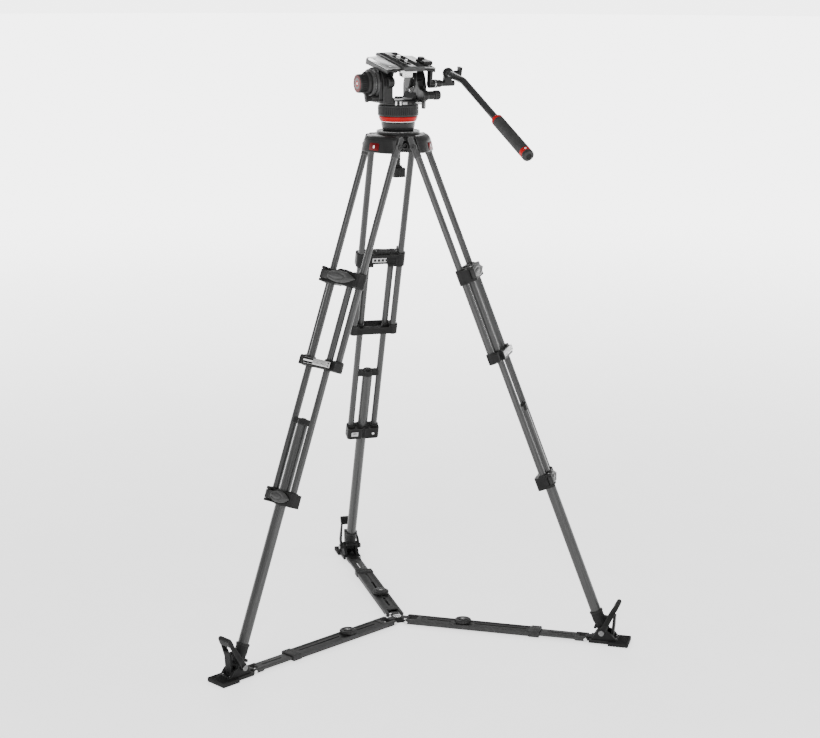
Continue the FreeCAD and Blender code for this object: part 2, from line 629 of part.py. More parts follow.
def pan_lock_lever():
    """Paddle on a radial spindle, hanging over the drag ring."""
    blade = capsule("x", 56.5, 61.5, (0, PAN_LOCK_Z), (0, PAN_LOCK_Z - 7.5), 5.5)
    bore = along_x(3.0 + RUNNING, (55.0, 60.1), 0, PAN_LOCK_Z)
    return turned(cut(blade, [bore]), PAN_LOCK_AZIMUTH)


# ---- tilting platform, in the head frame ----
CHANNEL = 26.0
PLATE_LEVER_AT = (44.0, -14.0)  # hinge of the plate's lock lever, x and y
BUTTON_AT = (-42.0, 41.2)       # plate release button, x and z
BUTTON_R = 3.4
ROSETTE_R = 9.5


def cradle():
    """Camera platform on two cheeks, with stub axles and the pan bar rosette."""
    top = plate([(-59, 36.5), (59, 36.5), (59, 43.5), (54, 46.0), (CHANNEL, 47.5), (CHANNEL, 40.0),
                 (-CHANNEL, 40.0), (-CHANNEL, 47.5), (-54, 46.0), (-59, 43.5)], "y", -58.0, 50.0)
    sides = []
    for s in (-1, 1):
        x = (min(s * 21.5, s * 28.2), max(s * 21.5, s * 28.2))
        sides.append(plate([(-13, 0), (13, 0), (24, 38), (-24, 38)], "x", x[0], x[1]))
        sides.append(along_x(14.0, x, 0, 0))
        stub = (min(s * 22, s * 49), max(s * 22, s * 49))
        sides.append(along_x(AXLE_R, stub, 0, 0))
        edge = (min(s * 55.5, s * 59), max(s * 55.5, s * 59))
        sides.append(plate([(-58, 35.5), (50, 31.5), (50, 40), (-58, 40)], "x", edge[0], edge[1]))
    block = box((-20.0, 4.0), (-57.0, -38.0), (24.0, 37.0))
    y, z = ROSETTE
    arm = plate([(-48, 38), (-27, 38), (y + 8.5, z), (y - 8.5, z)], "x", 53.0, 59.0)
    disc = along_x(ROSETTE_R, (53.0, 68.0), y, z)
    spindle = along_x(4.0, (60.0, 116.0), y, z)
    button_way = along_y(BUTTON_R + RUNNING, (-60.0, -40.0), BUTTON_AT[0], BUTTON_AT[1])
    lever_bore = along_z(3.0 + RUNNING, (39.0, 50.0), PLATE_LEVER_AT[0], PLATE_LEVER_AT[1])
    return cut(fuse([top] + sides + [block, arm, disc, spindle]), [button_way, lever_bore])


def camera_plate():
    """Sliding plate with a rubber-inlaid top and two slots for the camera screws."""
    body = plate([(-20, 40.5), (20, 40.5), (25.6, 44.0), (25.6, 47.8), (23.6, 51.0), (-23.6, 51.0),
                  (-25.6, 47.8), (-25.6, 44.0)], "y", -71.0, 70.0)
    holes = [along_z(radius + 0.4, (38.0, 52.0), 0, y) for y, radius, _ in SCREWS]
    heads = [along_z(9.5, (39.0, 44.0), 0, y) for y, _, _ in SCREWS]
    return cut(body, holes + heads)


SCREWS = [(8.0, 4.76, 6.5), (-29.0, 3.175, 6.5)]    # place along the plate, radius, height above it


def camera_screw(y, radius, height):
    neck = along_z(radius - 0.8, (41.0, PLATE_TOP + 1), 0, y)
    thread = along_z(radius, (PLATE_TOP + 0.3, PLATE_TOP + height), 0, y)
    head = along_z(9.0, (40.9, 43.6), 0, y)
    return fuse([neck, thread, head])


def plate_lock_lever():
    """Lever on the right of the platform that clamps the sliding plate."""
    blade = plate([(33, -50), (54, -50), (58, -44), (58, -8), (42, -4), (33, -10)], "z", 47.9, 56.5)
    boss = along_z(8.0, (47.9, 58.5), PLATE_LEVER_AT[0], PLATE_LEVER_AT[1])
    shaft = along_z(3.0, (40.0, 50.0), PLATE_LEVER_AT[0], PLATE_LEVER_AT[1])
    return fuse([blade, boss, shaft])


def release_button():
    stem = along_y(BUTTON_R, (-59.0, -44.5), BUTTON_AT[0], BUTTON_AT[1])
    cap = along_y(4.6, (-65.0, -62.0), BUTTON_AT[0], BUTTON_AT[1])
    neck = along_y(BUTTON_R, (-62.0, -59.0), BUTTON_AT[0], BUTTON_AT[1])
    return fuse([stem, neck, cap])


# ---- pan bar, in the head frame ----
BAR_X = 100.0
BAR_Z = 27.0
BAR_START = -31.0
BAR_BEND_Y = -110.0
BAR_DROP = 15.5             # degrees below the first run
BAR_R = 7.6
GRIP_R = 13.0
BEND_RADIUS = 45.0
GRIP_START = 163.0          # along the second run, from the bend
GRIP_LENGTH = 151.0
CLAMP_BALL_R = 12.5
WING_AT = (-44.0, BAR_Z)    # axis of the wing knob, y and z


def bar_clamp():
    """Rosette barrel with the split ball that grips the bar."""
    y, z = ROSETTE
    barrel = along_x(6.5, (68.6, 117.0), y, z)
    disc = along_x(ROSETTE_R, (68.6, 73.0), y, z)
    neck = rounded(box((91.0, 109.0), (-47.0, -32.0), (z, BAR_Z)), 3.0, Z_AXIS)
    ball = Part.makeSphere(CLAMP_BALL_R, V(BAR_X, y, BAR_Z))
    screw = along_x(3.0, (106.0, 120.0), WING_AT[0], WING_AT[1])
    bar_bore = along_y(BAR_R, (-70.0, BAR_START), BAR_X, BAR_Z)
    spindle = along_x(4.0 + RUNNING, (60.0, 116.6), y, z)
    return cut(fuse([barrel, disc, neck, ball, screw]), [bar_bore, spindle])


def bar_route():
    """First run, bend and second run of the bar as one wire, with the unit second direction."""
    drop = math.radians(BAR_DROP)
    second = V(0, -math.cos(drop), -math.sin(drop))
    bend = V(BAR_X, BAR_BEND_Y, BAR_Z)
    setback = BEND_RADIUS * math.tan(drop / 2)
    start = V(BAR_X, BAR_START, BAR_Z)
    arc_in = bend + V(0, setback, 0)
    arc_out = bend + second * setback
    centre = arc_in - V(0, 0, BEND_RADIUS)
    arc_mid = centre + V(0, -math.sin(drop / 2), math.cos(drop / 2)) * BEND_RADIUS
    end = bend + second * (GRIP_START + GRIP_LENGTH - 12)
    edges = [Part.LineSegment(start, arc_in).toShape(),
             Part.Arc(arc_in, arc_mid, arc_out).toShape(),
             Part.LineSegment(arc_out, end).toShape()]
    return Part.Wire(edges), bend, second


def bar_tube():
    wire, _, _ = bar_route()
    ring = Part.Wire(Part.makeCircle(BAR_R, V(BAR_X, BAR_START, BAR_Z), Y_AXIS))
    return wire.makePipeShell([ring], True, False)


def bar_grip():
    _, bend, direction = bar_route()
    start = bend + direction * GRIP_START
    body = Part.makeCylinder(GRIP_R, GRIP_LENGTH - 8, start + direction * 4, direction)
    front = Part.makeCone(GRIP_R - 1.5, GRIP_R, 4, start, direction)
    cap = Part.makeCone(GRIP_R, GRIP_R - 3.5, 4, start + direction * (GRIP_LENGTH - 4), direction)
    bore = Part.makeCylinder(BAR_R, GRIP_LENGTH - 12, start, direction)
    return cut(fuse([body, front, cap]), [bore])


def bar_knob():
    """Wing knob that tightens the bar's clamp."""
    y, z = WING_AT
    hub_part = along_x(6.5, (113.0, 124.0), y, z)
    wing = rounded(box((122.5, 130.0), (y - 6, y + 6), (z - 10, z + 11)), 3.0, X_AXIS)
    bore = along_x(3.0 + RUNNING, (110.0, 120.6), y, z)
    return cut(fuse([hub_part, wing]), [bore])


# ---- write every node ----
def build_leg(leg):
    upper = "leg_" + leg + "_upper_"
    middle = "leg_" + leg + "_middle_"
    lower = "leg_" + leg + "_lower_"
    leg_pieces = {
        upper + "castings": mirrored_pair(leg_head) + [bottom_bracket()],
        upper + "tubes": mirrored_pair(upper_tube),
        middle + "clamps": [top_clamp(), lower_clamp()],
        middle + "tubes": mirrored_pair(middle_tube),
        middle + "lever": [lock_lever(CLAMP_1, -48.0, 52.0)],
        lower + "castings": [bridge(), boot()],
        lower + "tube": [lower_tube()],
        lower + "lever": [lock_lever(CLAMP_3, -33.0, 34.0)],
    }
    radial_pieces = {
        "foot_" + leg + "_shoe": [shoe(), pad(), foot_bolt(), arm_pin()],
        "foot_" + leg + "_lever": [foot_lever()],
        "spreader_" + leg + "_outer": [outer_arm(), hub_pin()],
        "spreader_" + leg + "_inner": [inner_arm()],
        "spreader_" + leg + "_knob": [arm_knob()],
    }
    for name, shapes in leg_pieces.items():
        write(name, [from_leg(shape, leg) for shape in shapes])
    for name, shapes in radial_pieces.items():
        write(name, [from_radial(shape, leg) for shape in shapes])


def build_head():
    fixed = {
        "crown": [crown()],
        "leg_hinge_pins": [hinge_pin(azimuth) for azimuth in LEG_AZIMUTHS.values()],
        "spreader_hub": [hub()],
        "half_ball": [half_ball()],
        "leveling_rod": [leveling_rod(), clamp_cup()],
        "bowl_clamp_knob": [clamp_knob()],
        "pan_drag_ring": [drag_ring()],
        "head_yoke": [yoke()],
        "counterbalance_dial": [dial()],
        "tilt_drag_knob": [tilt_drag_knob()],
        "tilt_lock_lever": [tilt_lock_lever()],
        "pan_lock_lever": [pan_lock_lever()],
    }
    tipped = {
        "tilt_platform": [cradle()],
        "camera_plate": [camera_plate()],
        "camera_screws": [camera_screw(*screw) for screw in SCREWS],
        "plate_lock_lever": [plate_lock_lever()],
        "plate_release_button": [release_button()],
        "panbar_clamp": [bar_clamp()],
        "panbar_tube": [bar_tube()],
        "panbar_grip": [bar_grip()],
        "panbar_knob": [bar_knob()],
    }
    for name, shapes in fixed.items():
        write(name, shapes)
    for name, shapes in tipped.items():
        write(name, [from_head(shape) for shape in shapes])


os.makedirs("parts", exist_ok=True)
for leg_name in LEG_AZIMUTHS:
    build_leg(leg_name)
build_head()
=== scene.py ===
import json
import math

import bmesh
import bpy
from mathutils import Matrix, Vector


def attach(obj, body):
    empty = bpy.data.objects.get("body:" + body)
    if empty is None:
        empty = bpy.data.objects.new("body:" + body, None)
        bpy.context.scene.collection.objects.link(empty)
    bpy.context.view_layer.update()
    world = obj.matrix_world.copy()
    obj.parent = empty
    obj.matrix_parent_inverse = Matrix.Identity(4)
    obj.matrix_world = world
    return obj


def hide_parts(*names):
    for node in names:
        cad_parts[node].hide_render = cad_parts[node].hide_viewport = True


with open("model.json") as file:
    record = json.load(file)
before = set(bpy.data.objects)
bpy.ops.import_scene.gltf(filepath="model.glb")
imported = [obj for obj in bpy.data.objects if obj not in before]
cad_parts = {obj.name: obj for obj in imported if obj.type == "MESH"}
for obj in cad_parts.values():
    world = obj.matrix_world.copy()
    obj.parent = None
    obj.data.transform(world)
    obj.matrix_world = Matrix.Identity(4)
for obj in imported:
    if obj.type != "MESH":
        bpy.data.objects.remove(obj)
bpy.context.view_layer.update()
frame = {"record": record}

# Shapes below are drawn in millimetres in the frame of the part they belong to:
#   leg frame     X outward from the leg's face, Y across the leg, Z up the leg, origin at the top hinge
#   radial frame  X outward along the floor under one leg, Y across it, Z up
#   row frame     the CAD's own frame
#   head frame    the row frame tipped with the camera platform, origin on the tilt axis
MM = 0.001
LEGS = "abc"


# ---------------------------------------------------------------- frames, read from the joints
JOINTS = {joint["name"]: joint for joint in frame["record"]["behaviour"]["joints"]}


def joint_at(name):
    return Vector(JOINTS[name]["pos_m"])


def joint_axis(name):
    return Vector(JOINTS[name]["axis"]).normalized()


def frame_matrix(origin, x, y, z):
    rotation = Matrix((x, y, z)).transposed().to_4x4()
    return Matrix.Translation(origin) @ rotation


def leg_frame(leg):
    up = joint_axis(f"leg_{leg}_lower_slide")
    across = -joint_axis(f"leg_{leg}_spread")
    return frame_matrix(joint_at(f"leg_{leg}_spread"), across.cross(up), across, up)


def radial_frame(leg):
    across = joint_axis(f"foot_{leg}_lever_turn")
    up = Vector((0, 0, 1))
    return frame_matrix(Vector((0, 0, 0)), across.cross(up), across, up)


def head_frame():
    forward = joint_axis("plate_slide")
    across = Vector((1, 0, 0))
    return frame_matrix(joint_at("tilt"), across, forward, across.cross(forward))


ROW = Matrix.Identity(4)
LEG = {leg: leg_frame(leg) for leg in LEGS}
RADIAL = {leg: radial_frame(leg) for leg in LEGS}
HEADINGS = [math.degrees(math.atan2(RADIAL[leg][1][0], RADIAL[leg][0][0])) for leg in LEGS]
HEAD = head_frame()


# ---------------------------------------------------------------- mesh tools, in millimetres
def to_mesh(bm):
    bmesh.ops.recalc_face_normals(bm, faces=bm.faces)
    mesh = bpy.data.meshes.new("shape")
    bm.to_mesh(mesh)
    bm.free()
    return mesh


def toward(axis):
    """Maps drawing coordinates (p, q, height) to x, y, z with the height along an axis."""
    return {
        "x": lambda p, q, h: (h, p, q),
        "y": lambda p, q, h: (p, h, q),
        "z": lambda p, q, h: (p, q, h),
    }[axis]


def skinned(bm, rings):
    """Joins a stack of rings of vertices into a closed solid."""
    for lower, upper in zip(rings, rings[1:]):
        for k in range(len(lower)):
            n = (k + 1) % len(lower)
            bm.faces.new((lower[k], lower[n], upper[n], upper[k]))
    bm.faces.new(rings[0])
    bm.faces.new(rings[-1])
    return to_mesh(bm)


def prism(outline, axis, low, high):
    """A closed outline of (p, q) points extruded along an axis: (y, z), (x, z) or (x, y)."""
    place = toward(axis)
    bm = bmesh.new()
    return skinned(bm, [[bm.verts.new(place(p, q, height)) for p, q in outline] for height in (low, high)])


def on_side(side, near, far):
    """The span from near to far on the left (-1) or right (1) side, low end first."""
    return tuple(sorted((side * near, side * far)))


def block(x, y, z):
    return prism([(x[0], y[0]), (x[1], y[0]), (x[1], y[1]), (x[0], y[1])], "z", z[0], z[1])


def circle(radius, steps):
    turns = [math.tau * k / steps for k in range(steps)]
    return [(radius * math.cos(turn), radius * math.sin(turn)) for turn in turns]


def dome(radius, centre, first, pitch, count):
    """Lathe points on a sphere centred at a height; the angles count up from straight down, in degrees."""
    angles = [math.radians(first + pitch * k) for k in range(count)]
    return [(radius * math.sin(angle), centre - radius * math.cos(angle)) for angle in angles]


def lathe(profile, axis="z", at=(0.0, 0.0), steps=56):
    """Turns (radius, height) points round an axis. Points on the axis close the ends."""
    place = toward(axis)
    bm = bmesh.new()
    rings = []
    for radius, height in profile:
        if radius < 1e-6:
            rings.append([bm.verts.new(place(at[0], at[1], height))])
        else:
            rings.append([bm.verts.new(place(at[0] + p, at[1] + q, height))
                          for p, q in circle(radius, steps)])
    closed = profile[0][0] > 1e-6
    pairs = list(zip(rings, rings[1:] + rings[:1] if closed else rings[1:]))
    for lower, upper in pairs:
        for k in range(steps):
            n = (k + 1) % steps
            corners = [ring[j % len(ring)] for ring, j in ((lower, k), (lower, n), (upper, n), (upper, k))]
            unique = list(dict.fromkeys(corners))
            if len(unique) > 2:
                bm.faces.new(unique)
    return to_mesh(bm)


def rod(radius, span, axis="z", at=(0.0, 0.0), edge=0.6, steps=48):
    """A solid bar with rounded ends."""
    low, high = span
    turns = [(0.0, 0.0), (0.55, 0.12), (0.88, 0.45), (1.0, 1.0)]
    profile = [(0.0, low)] + [(radius - edge + edge * a, low + edge * b) for a, b in turns]
    profile += [(radius - edge + edge * a, high - edge * b) for a, b in reversed(turns)] + [(0.0, high)]
    return lathe(profile, axis, at, steps)


def pipe(radius, wall, span, steps=40):
    """A tube along z with slightly rounded rims."""
    low, high = span
    inner, r = radius - wall, 0.3
    profile = [(inner, low + r), (inner + r, low), (radius - r, low), (radius, low + r), (radius, high - r),
               (radius - r, high), (inner + r, high), (inner, high - r)]
    return lathe(profile, steps=steps)


def capsule(start, end, radius, axis, low, high, end_radius=None):
    """A round-ended bar between two (p, q) points, extruded along an axis."""
    far = radius if end_radius is None else end_radius
    heading = math.atan2(end[1] - start[1], end[0] - start[0])
    outline = []
    for centre, size, first in ((end, far, -90), (start, radius, 90)):
        for k in range(15):
            angle = heading + math.radians(first + 180 * k / 14)
            outline.append((centre[0] + size * math.cos(angle), centre[1] + size * math.sin(angle)))
    return prism(outline, axis, low, high)


def joined(meshes):
    bm = bmesh.new()
    for mesh in meshes:
        bm.from_mesh(mesh)
    return to_mesh(bm)


def turned(mesh, degrees, axis="Z", about=(0, 0, 0)):
    """A copy of a mesh turned about an axis through a point."""
    copy = mesh.copy()
    pivot = Matrix.Translation(Vector(about))
    copy.transform(pivot @ Matrix.Rotation(math.radians(degrees), 4, axis) @ pivot.inverted())
    return copy


def moved(mesh, x, y, z):
    copy = mesh.copy()
    copy.transform(Matrix.Translation(Vector((x, y, z))))
    return copy


def with_modifiers(mesh, settings):
    """Applies modifiers, each given as (kind, {setting: value})."""
    holder = bpy.data.objects.new("holder", mesh)
    bpy.context.scene.collection.objects.link(holder)
    for kind, values in settings:
        modifier = holder.modifiers.new(kind, kind)
        for key, value in values.items():
            setattr(modifier, key, value)
    shaped = holder.evaluated_get(bpy.context.evaluated_depsgraph_get())
    result = bpy.data.meshes.new_from_object(shaped)
    bpy.data.objects.remove(holder)
    return result


def bevelled(mesh, width, segments=2):
    return with_modifiers(mesh, [("BEVEL", {
        "width": width, "segments": segments, "limit_method": "ANGLE", "angle_limit": math.radians(30),
        "use_clamp_overlap": True})])


def boolean(mesh, tools, operation):
    tool = bpy.data.objects.new("tool", joined(tools))
    bpy.context.scene.collection.objects.link(tool)
    result = with_modifiers(mesh, [("BOOLEAN", {
        "object": tool, "operation": operation, "solver": "EXACT", "use_self": len(tools) > 1})])
    bpy.data.objects.remove(tool)
    return result


def carved(mesh, tools):
    return boolean(mesh, tools, "DIFFERENCE")


def cast(meshes, cuts=(), grain=1.0, rounds=4):
    """One blended casting: the pieces are merged, cut, and their corners softened."""
    whole = with_modifiers(joined(meshes), [("REMESH", {"mode": "VOXEL", "voxel_size": grain})])
    if cuts:
        whole = carved(whole, cuts)
        whole = with_modifiers(whole, [("REMESH", {"mode": "VOXEL", "voxel_size": grain})])
    return with_modifiers(whole, [("SMOOTH", {"factor": 0.5, "iterations": rounds})])


def ring_of(mesh, count, axis="Z", about=(0, 0, 0)):
    return [turned(mesh, 360.0 * k / count, axis, about) for k in range(count)]


# ---------------------------------------------------------------- materials
class Nodes:
    """Short names for building one node material."""

    def __init__(self, name):
        self.material = bpy.data.materials.new(name)
        self.material.use_nodes = True
        self.tree = self.material.node_tree
        self.shader = self.tree.nodes["Principled BSDF"]
        self.spot = self.add("ShaderNodeTexCoord").outputs["Object"]

    def add(self, kind, **values):
        node = self.tree.nodes.new(kind)
        for key, value in values.items():
            setattr(node, key, value)
        return node

    def link(self, source, target):
        self.tree.links.new(source, target)

    def set(self, **values):
        for key, value in values.items():
            self.shader.inputs[key.replace("_", " ")].default_value = value

    def noise(self, scale, detail=3.0, stretch=(1, 1, 1), roughness=0.5):
        mapping = self.add("ShaderNodeMapping")
        mapping.inputs["Scale"].default_value = stretch
        self.link(self.spot, mapping.inputs["Vector"])
        texture = self.add("ShaderNodeTexNoise")
        texture.inputs["Scale"].default_value = scale
        texture.inputs["Detail"].default_value = detail
        texture.inputs["Roughness"].default_value = roughness
        self.link(mapping.outputs["Vector"], texture.inputs["Vector"])
        return texture.outputs["Fac"]

    def math(self, operation, first, second=None):
        node = self.add("ShaderNodeMath", operation=operation)
        for socket, value in zip(node.inputs, (first, second)):
            if isinstance(value, (int, float)):
                socket.default_value = value
            elif value is not None:
                self.link(value, socket)
        return node.outputs[0]

    def ramp(self, factor, stops):
        node = self.add("ShaderNodeValToRGB")
        elements = node.color_ramp.elements
        for element, (position, colour) in zip(elements, (stops[0], stops[-1])):
            element.position = position
            element.color = (*colour, 1)
        for position, colour in stops[1:-1]:
            elements.new(position).color = (*colour, 1)
        self.link(factor, node.inputs["Fac"])
        return node.outputs["Color"]

    def spread(self, factor, low, high):
        node = self.add("ShaderNodeMapRange")
        node.inputs["To Min"].default_value = low
        node.inputs["To Max"].default_value = high
        self.link(factor, node.inputs["Value"])
        return node.outputs["Result"]

    def bump(self, height, strength, distance=0.0002, after=None):
        node = self.add("ShaderNodeBump")
        node.inputs["Strength"].default_value = strength
        node.inputs["Distance"].default_value = distance
        self.link(height, node.inputs["Height"])
        if after is not None:
            self.link(after, node.inputs["Normal"])
        return node.outputs["Normal"]

    def wear(self, low=0.5, high=0.56):
        """High on outside corners, from the surface's own curvature."""
        edge = self.add("ShaderNodeNewGeometry").outputs["Pointiness"]
        return self.ramp(edge, [(low, (0, 0, 0)), (high, (1, 1, 1))])


def grey(value):
    return (value, value, value)


def coated(name, dark, light, rough, grain, strength, worn=None, metallic=0.0, coat=0.0, shine=0.08):
    """Paint, powder coat or moulded plastic: mottled colour, uneven gloss, fine grain, rubbed corners."""
    n = Nodes(name)
    cloud = n.noise(38.0, 4.0)
    colour = n.ramp(cloud, [(0.3, dark), (0.7, light)])
    if worn:
        mix = n.add("ShaderNodeMix", data_type="RGBA")
        scuffs = n.math("MULTIPLY", n.wear(), n.spread(n.noise(160.0, 4.0), 0.1, 0.9))
        n.link(scuffs, mix.inputs["Factor"])
        n.link(colour, mix.inputs["A"])
        mix.inputs["B"].default_value = (*worn, 1)
        colour = mix.outputs["Result"]
    n.link(colour, n.shader.inputs["Base Color"])
    n.link(n.spread(n.noise(90.0, 3.0), rough - 0.07, rough + 0.07), n.shader.inputs["Roughness"])
    n.link(n.bump(n.noise(grain, 2.0), strength), n.shader.inputs["Normal"])
    n.set(Metallic=metallic, Coat_Weight=coat, Coat_Roughness=0.12, Specular_IOR_Level=shine)
    return n.material


def carbon():
    """Twill-woven tube under lacquer: diagonal tow bands round the tube and pale lengthwise drag lines."""
    n = Nodes("carbon_tube")
    xyz = n.add("ShaderNodeSeparateXYZ")
    n.link(n.spot, xyz.inputs["Vector"])
    angle = n.math("ARCTAN2", xyz.outputs["Y"], xyz.outputs["X"])
    across = n.math("MULTIPLY", angle, 12.0)
    along = n.math("MULTIPLY", xyz.outputs["Z"], 1250.0)
    warp = n.math("SINE", n.math("ADD", across, along))
    weft = n.math("SINE", n.math("SUBTRACT", across, along))
    weave = n.spread(n.math("MULTIPLY", warp, weft), 0.0, 1.0)
    streak = n.noise(1.0, 4.0, (900, 900, 9))
    tone = n.math("ADD", n.math("MULTIPLY", weave, 0.22), n.math("MULTIPLY", streak, 0.78))
    colour = n.ramp(tone, [(0.25, grey(0.014)), (0.55, grey(0.035)), (0.8, grey(0.09))])
    n.link(colour, n.shader.inputs["Base Color"])
    n.link(n.spread(streak, 0.28, 0.44), n.shader.inputs["Roughness"])
    n.link(n.bump(weave, 0.25, 0.00006, n.bump(streak, 0.2, 0.00005)), n.shader.inputs["Normal"])
    n.set(Coat_Weight=0.15, Coat_Roughness=0.16, Specular_IOR_Level=0.3)
    return n.material


def brushed(name, dark, light, rough, stretch, metallic=1.0):
    """Machined or brushed metal with drawn lines."""
    n = Nodes(name)
    lines = n.noise(1.0, 5.0, stretch)
    n.link(n.ramp(lines, [(0.3, dark), (0.7, light)]), n.shader.inputs["Base Color"])
    n.link(n.spread(lines, rough - 0.08, rough + 0.1), n.shader.inputs["Roughness"])
    n.link(n.bump(lines, 0.15, 0.00005), n.shader.inputs["Normal"])
    n.set(Metallic=metallic)
    return n.material


M = {
    "carbon": carbon(),
    "cast": coated("black_casting", grey(0.007), grey(0.013), 0.46, 2600.0, 0.35, grey(0.06)),
    "gloss": coated("head_black", grey(0.005), grey(0.009), 0.36, 1700.0, 0.12, grey(0.06), coat=0.14),
    "shell": coated("crown_black", grey(0.008), grey(0.014), 0.36, 2600.0, 0.25, grey(0.07), coat=0.1),
    "horn": coated("horn_grey", grey(0.028), grey(0.045), 0.4, 2400.0, 0.2, grey(0.16)),
    "bar": coated("bar_black", grey(0.003), grey(0.006), 0.2, 1500.0, 0.08, grey(0.03), coat=0.3),
    "edge": coated("machined_dark", grey(0.06), grey(0.1), 0.25, 1800.0, 0.1, grey(0.3), metallic=0.8),
    "window": coated("window_grey", grey(0.08), grey(0.12), 0.3, 900.0, 0.05, coat=0.3),
    "plastic": coated("moulded_black", grey(0.006), grey(0.011), 0.38, 2200.0, 0.2, grey(0.045)),
    "lever": coated("lever_grey", grey(0.03), grey(0.045), 0.38, 2000.0, 0.18, grey(0.12)),
    "arm": coated("arm_grey", grey(0.014), grey(0.022), 0.5, 2400.0, 0.3, grey(0.07)),
    "rubber": coated("rubber_black", grey(0.008), grey(0.014), 0.78, 1500.0, 0.5, shine=0.15),
    "grip": coated("grip_rubber", grey(0.022), grey(0.034), 0.72, 1300.0, 0.6, shine=0.15),
    "red": coated("accent_red", (0.24, 0.002, 0.003), (0.32, 0.004, 0.005), 0.36, 1600.0, 0.1),
    "deep_red": coated("badge_red", (0.06, 0.001, 0.002), (0.09, 0.002, 0.003), 0.36, 1600.0, 0.1),
    "white": coated("mark_white", grey(0.6), grey(0.7), 0.45, 1500.0, 0.1),
    "dark": coated("window_dark", grey(0.003), grey(0.005), 0.14, 900.0, 0.03, coat=0.3),
    "steel": brushed("bright_steel", grey(0.42), grey(0.66), 0.24, (700, 700, 60)),
    "bright": brushed("bright_edge", grey(0.5), grey(0.7), 0.22, (60, 900, 60), metallic=0.9),
    "label": brushed("label_silver", grey(0.34), grey(0.46), 0.36, (60, 60, 1400), metallic=0.7),
    "silver": brushed("platform_silver", grey(0.13), grey(0.2), 0.34, (60, 1100, 60), metallic=0.85),
    "vial": coated("level_vial", (0.32, 0.5, 0.12), (0.4, 0.6, 0.16), 0.1, 300.0, 0.02, coat=1.0),
}


# ---------------------------------------------------------------- putting a piece on the model
def add(name, mesh, body, material, place=ROW, replaces=(), sharp=38):
    """Makes one visible piece: scales it to metres, shades it, puts it in place and on its body."""
    mesh = mesh.copy()
    mesh.transform(Matrix.Scale(MM, 4))
    mesh.materials.clear()
    mesh.materials.append(M[material])
    mesh.shade_smooth()
    mesh.set_sharp_from_angle(angle=math.radians(sharp))
    piece = bpy.data.objects.new(name, mesh)
    bpy.context.scene.collection.objects.link(piece)
    piece.matrix_world = place
    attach(piece, body)
    if replaces:
        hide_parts(*replaces)
    return piece


# ---------------------------------------------------------------- legs, in the leg frame
UPPER_U = 47.0            # twin upper tubes, half spacing
MIDDLE_U = 29.0           # twin middle tubes, half spacing
STAGE_V = 10.5            # the middle and lower stages lie outward of the upper tubes
TUBE_R = 7.5
LOWER_R = 12.0
CLAMP_1 = (-321.0, -286.0)
BRACKET = (-508.0, -483.0)
CLAMP_3 = (-815.0, -781.0)
BRIDGE = (-635.0, -621.0)
LEVER_V = 26.0            # hinge line of the lock levers
FACE_V = 22.0             # outward face of a clamp


def tube_place(leg, v, u):
    """Each tube has its own origin on its axis, so that the weave winds round it."""
    return LEG[leg] @ Matrix.Translation(Vector((v, u, 0)) * MM)


def make_tubes(leg):
    spans = {
        "upper": (0.0, UPPER_U, (-505.0, -11.0)),
        "middle": (STAGE_V, MIDDLE_U, (-806.0, -292.0)),
    }
    for stage, (v, half, span) in spans.items():
        shape = pipe(TUBE_R, 1.2, span)
        for side in (-1, 1):
            add(f"{stage}_tube_{leg}_{'lr'[side > 0]}", shape, f"leg_{leg}_{stage}", "carbon",
                tube_place(leg, v, side * half), [f"leg_{leg}_{stage}_tubes"])
    add(f"lower_tube_{leg}", pipe(LOWER_R, 1.5, (-1150.0, -635.0), steps=56), f"leg_{leg}_lower", "carbon",
        tube_place(leg, STAGE_V, 0), [f"leg_{leg}_lower_tube"])


def rounded_bar(half, depth, span, corner):
    """A clamp's body: a bar across the leg, rounded in plan."""
    x0, x1 = depth
    outline = []
    for cx, cy, first in ((x1 - corner, half - corner, 0), (x0 + corner, half - corner, 90),
                          (x0 + corner, corner - half, 180), (x1 - corner, corner - half, 270)):
        for k in range(7):
            angle = math.radians(first + 15 * k)
            outline.append((cx + corner * math.cos(angle), cy + corner * math.sin(angle)))
    return prism(outline, "z", span[0], span[1])


def boss(radius, span, v, u):
    return rod(radius, span, "z", (v, u), edge=1.0, steps=40)


def leg_head_shape():
    """Two sockets over the upper tubes, each with a knuckle on the hinge and a horn that runs on upward."""
    parts = []
    for u in (-UPPER_U, UPPER_U):
        parts.append(boss(8.2, (-26.0, -2.0), 0, u))
        parts.append(rod(8.0, (u - 7.5, u + 7.5), "y", (0.0, 0.0), edge=0.8))
        parts.append(capsule((0.0, 0.0), (0.0, 17.5), 6.5, "y", u - 7.5, u + 7.5))
    return cast(parts, grain=0.7, rounds=3)


def clamp_1_shape():
    low, high = CLAMP_1
    parts = [rounded_bar(57.6, (-9.6, 21.6), (low + 1, high - 3), 8.0)]
    for side in (-1, 1):
        parts.append(boss(11.0, (low, high), 0, side * UPPER_U))
        parts.append(boss(10.6, (low, high - 2), STAGE_V, side * MIDDLE_U))
        parts.append(block((-2, 12), (side * 40 - 9, side * 40 + 9), (high - 8, high - 1.5)))
    parts += lever_ears(low, high, -48.0)
    parts.append(capsule((-14.0, high - 6.5), (6.0, high - 6.5), 8.5, "x", -4.0, 12.0))
    parts.append(capsule((26.0, high - 6.0), (42.0, high - 6.0), 7.0, "x", -6.0, 4.0))
    cuts = [rod(TUBE_R + 0.35, (low - 5, high + 5), "z", (0, s * UPPER_U), edge=0.1) for s in (-1, 1)]
    cuts.append(block((-14.0, -7.4), (-36.0, 36.0), (low + 7, high - 9)))
    cuts.append(block((-14.0, 3.0), (-17.0, 17.0), (low - 4, low + 9)))
    cuts.append(lever_gap(low, high, -48.0))
    return cast(parts, cuts, 0.8, 3)


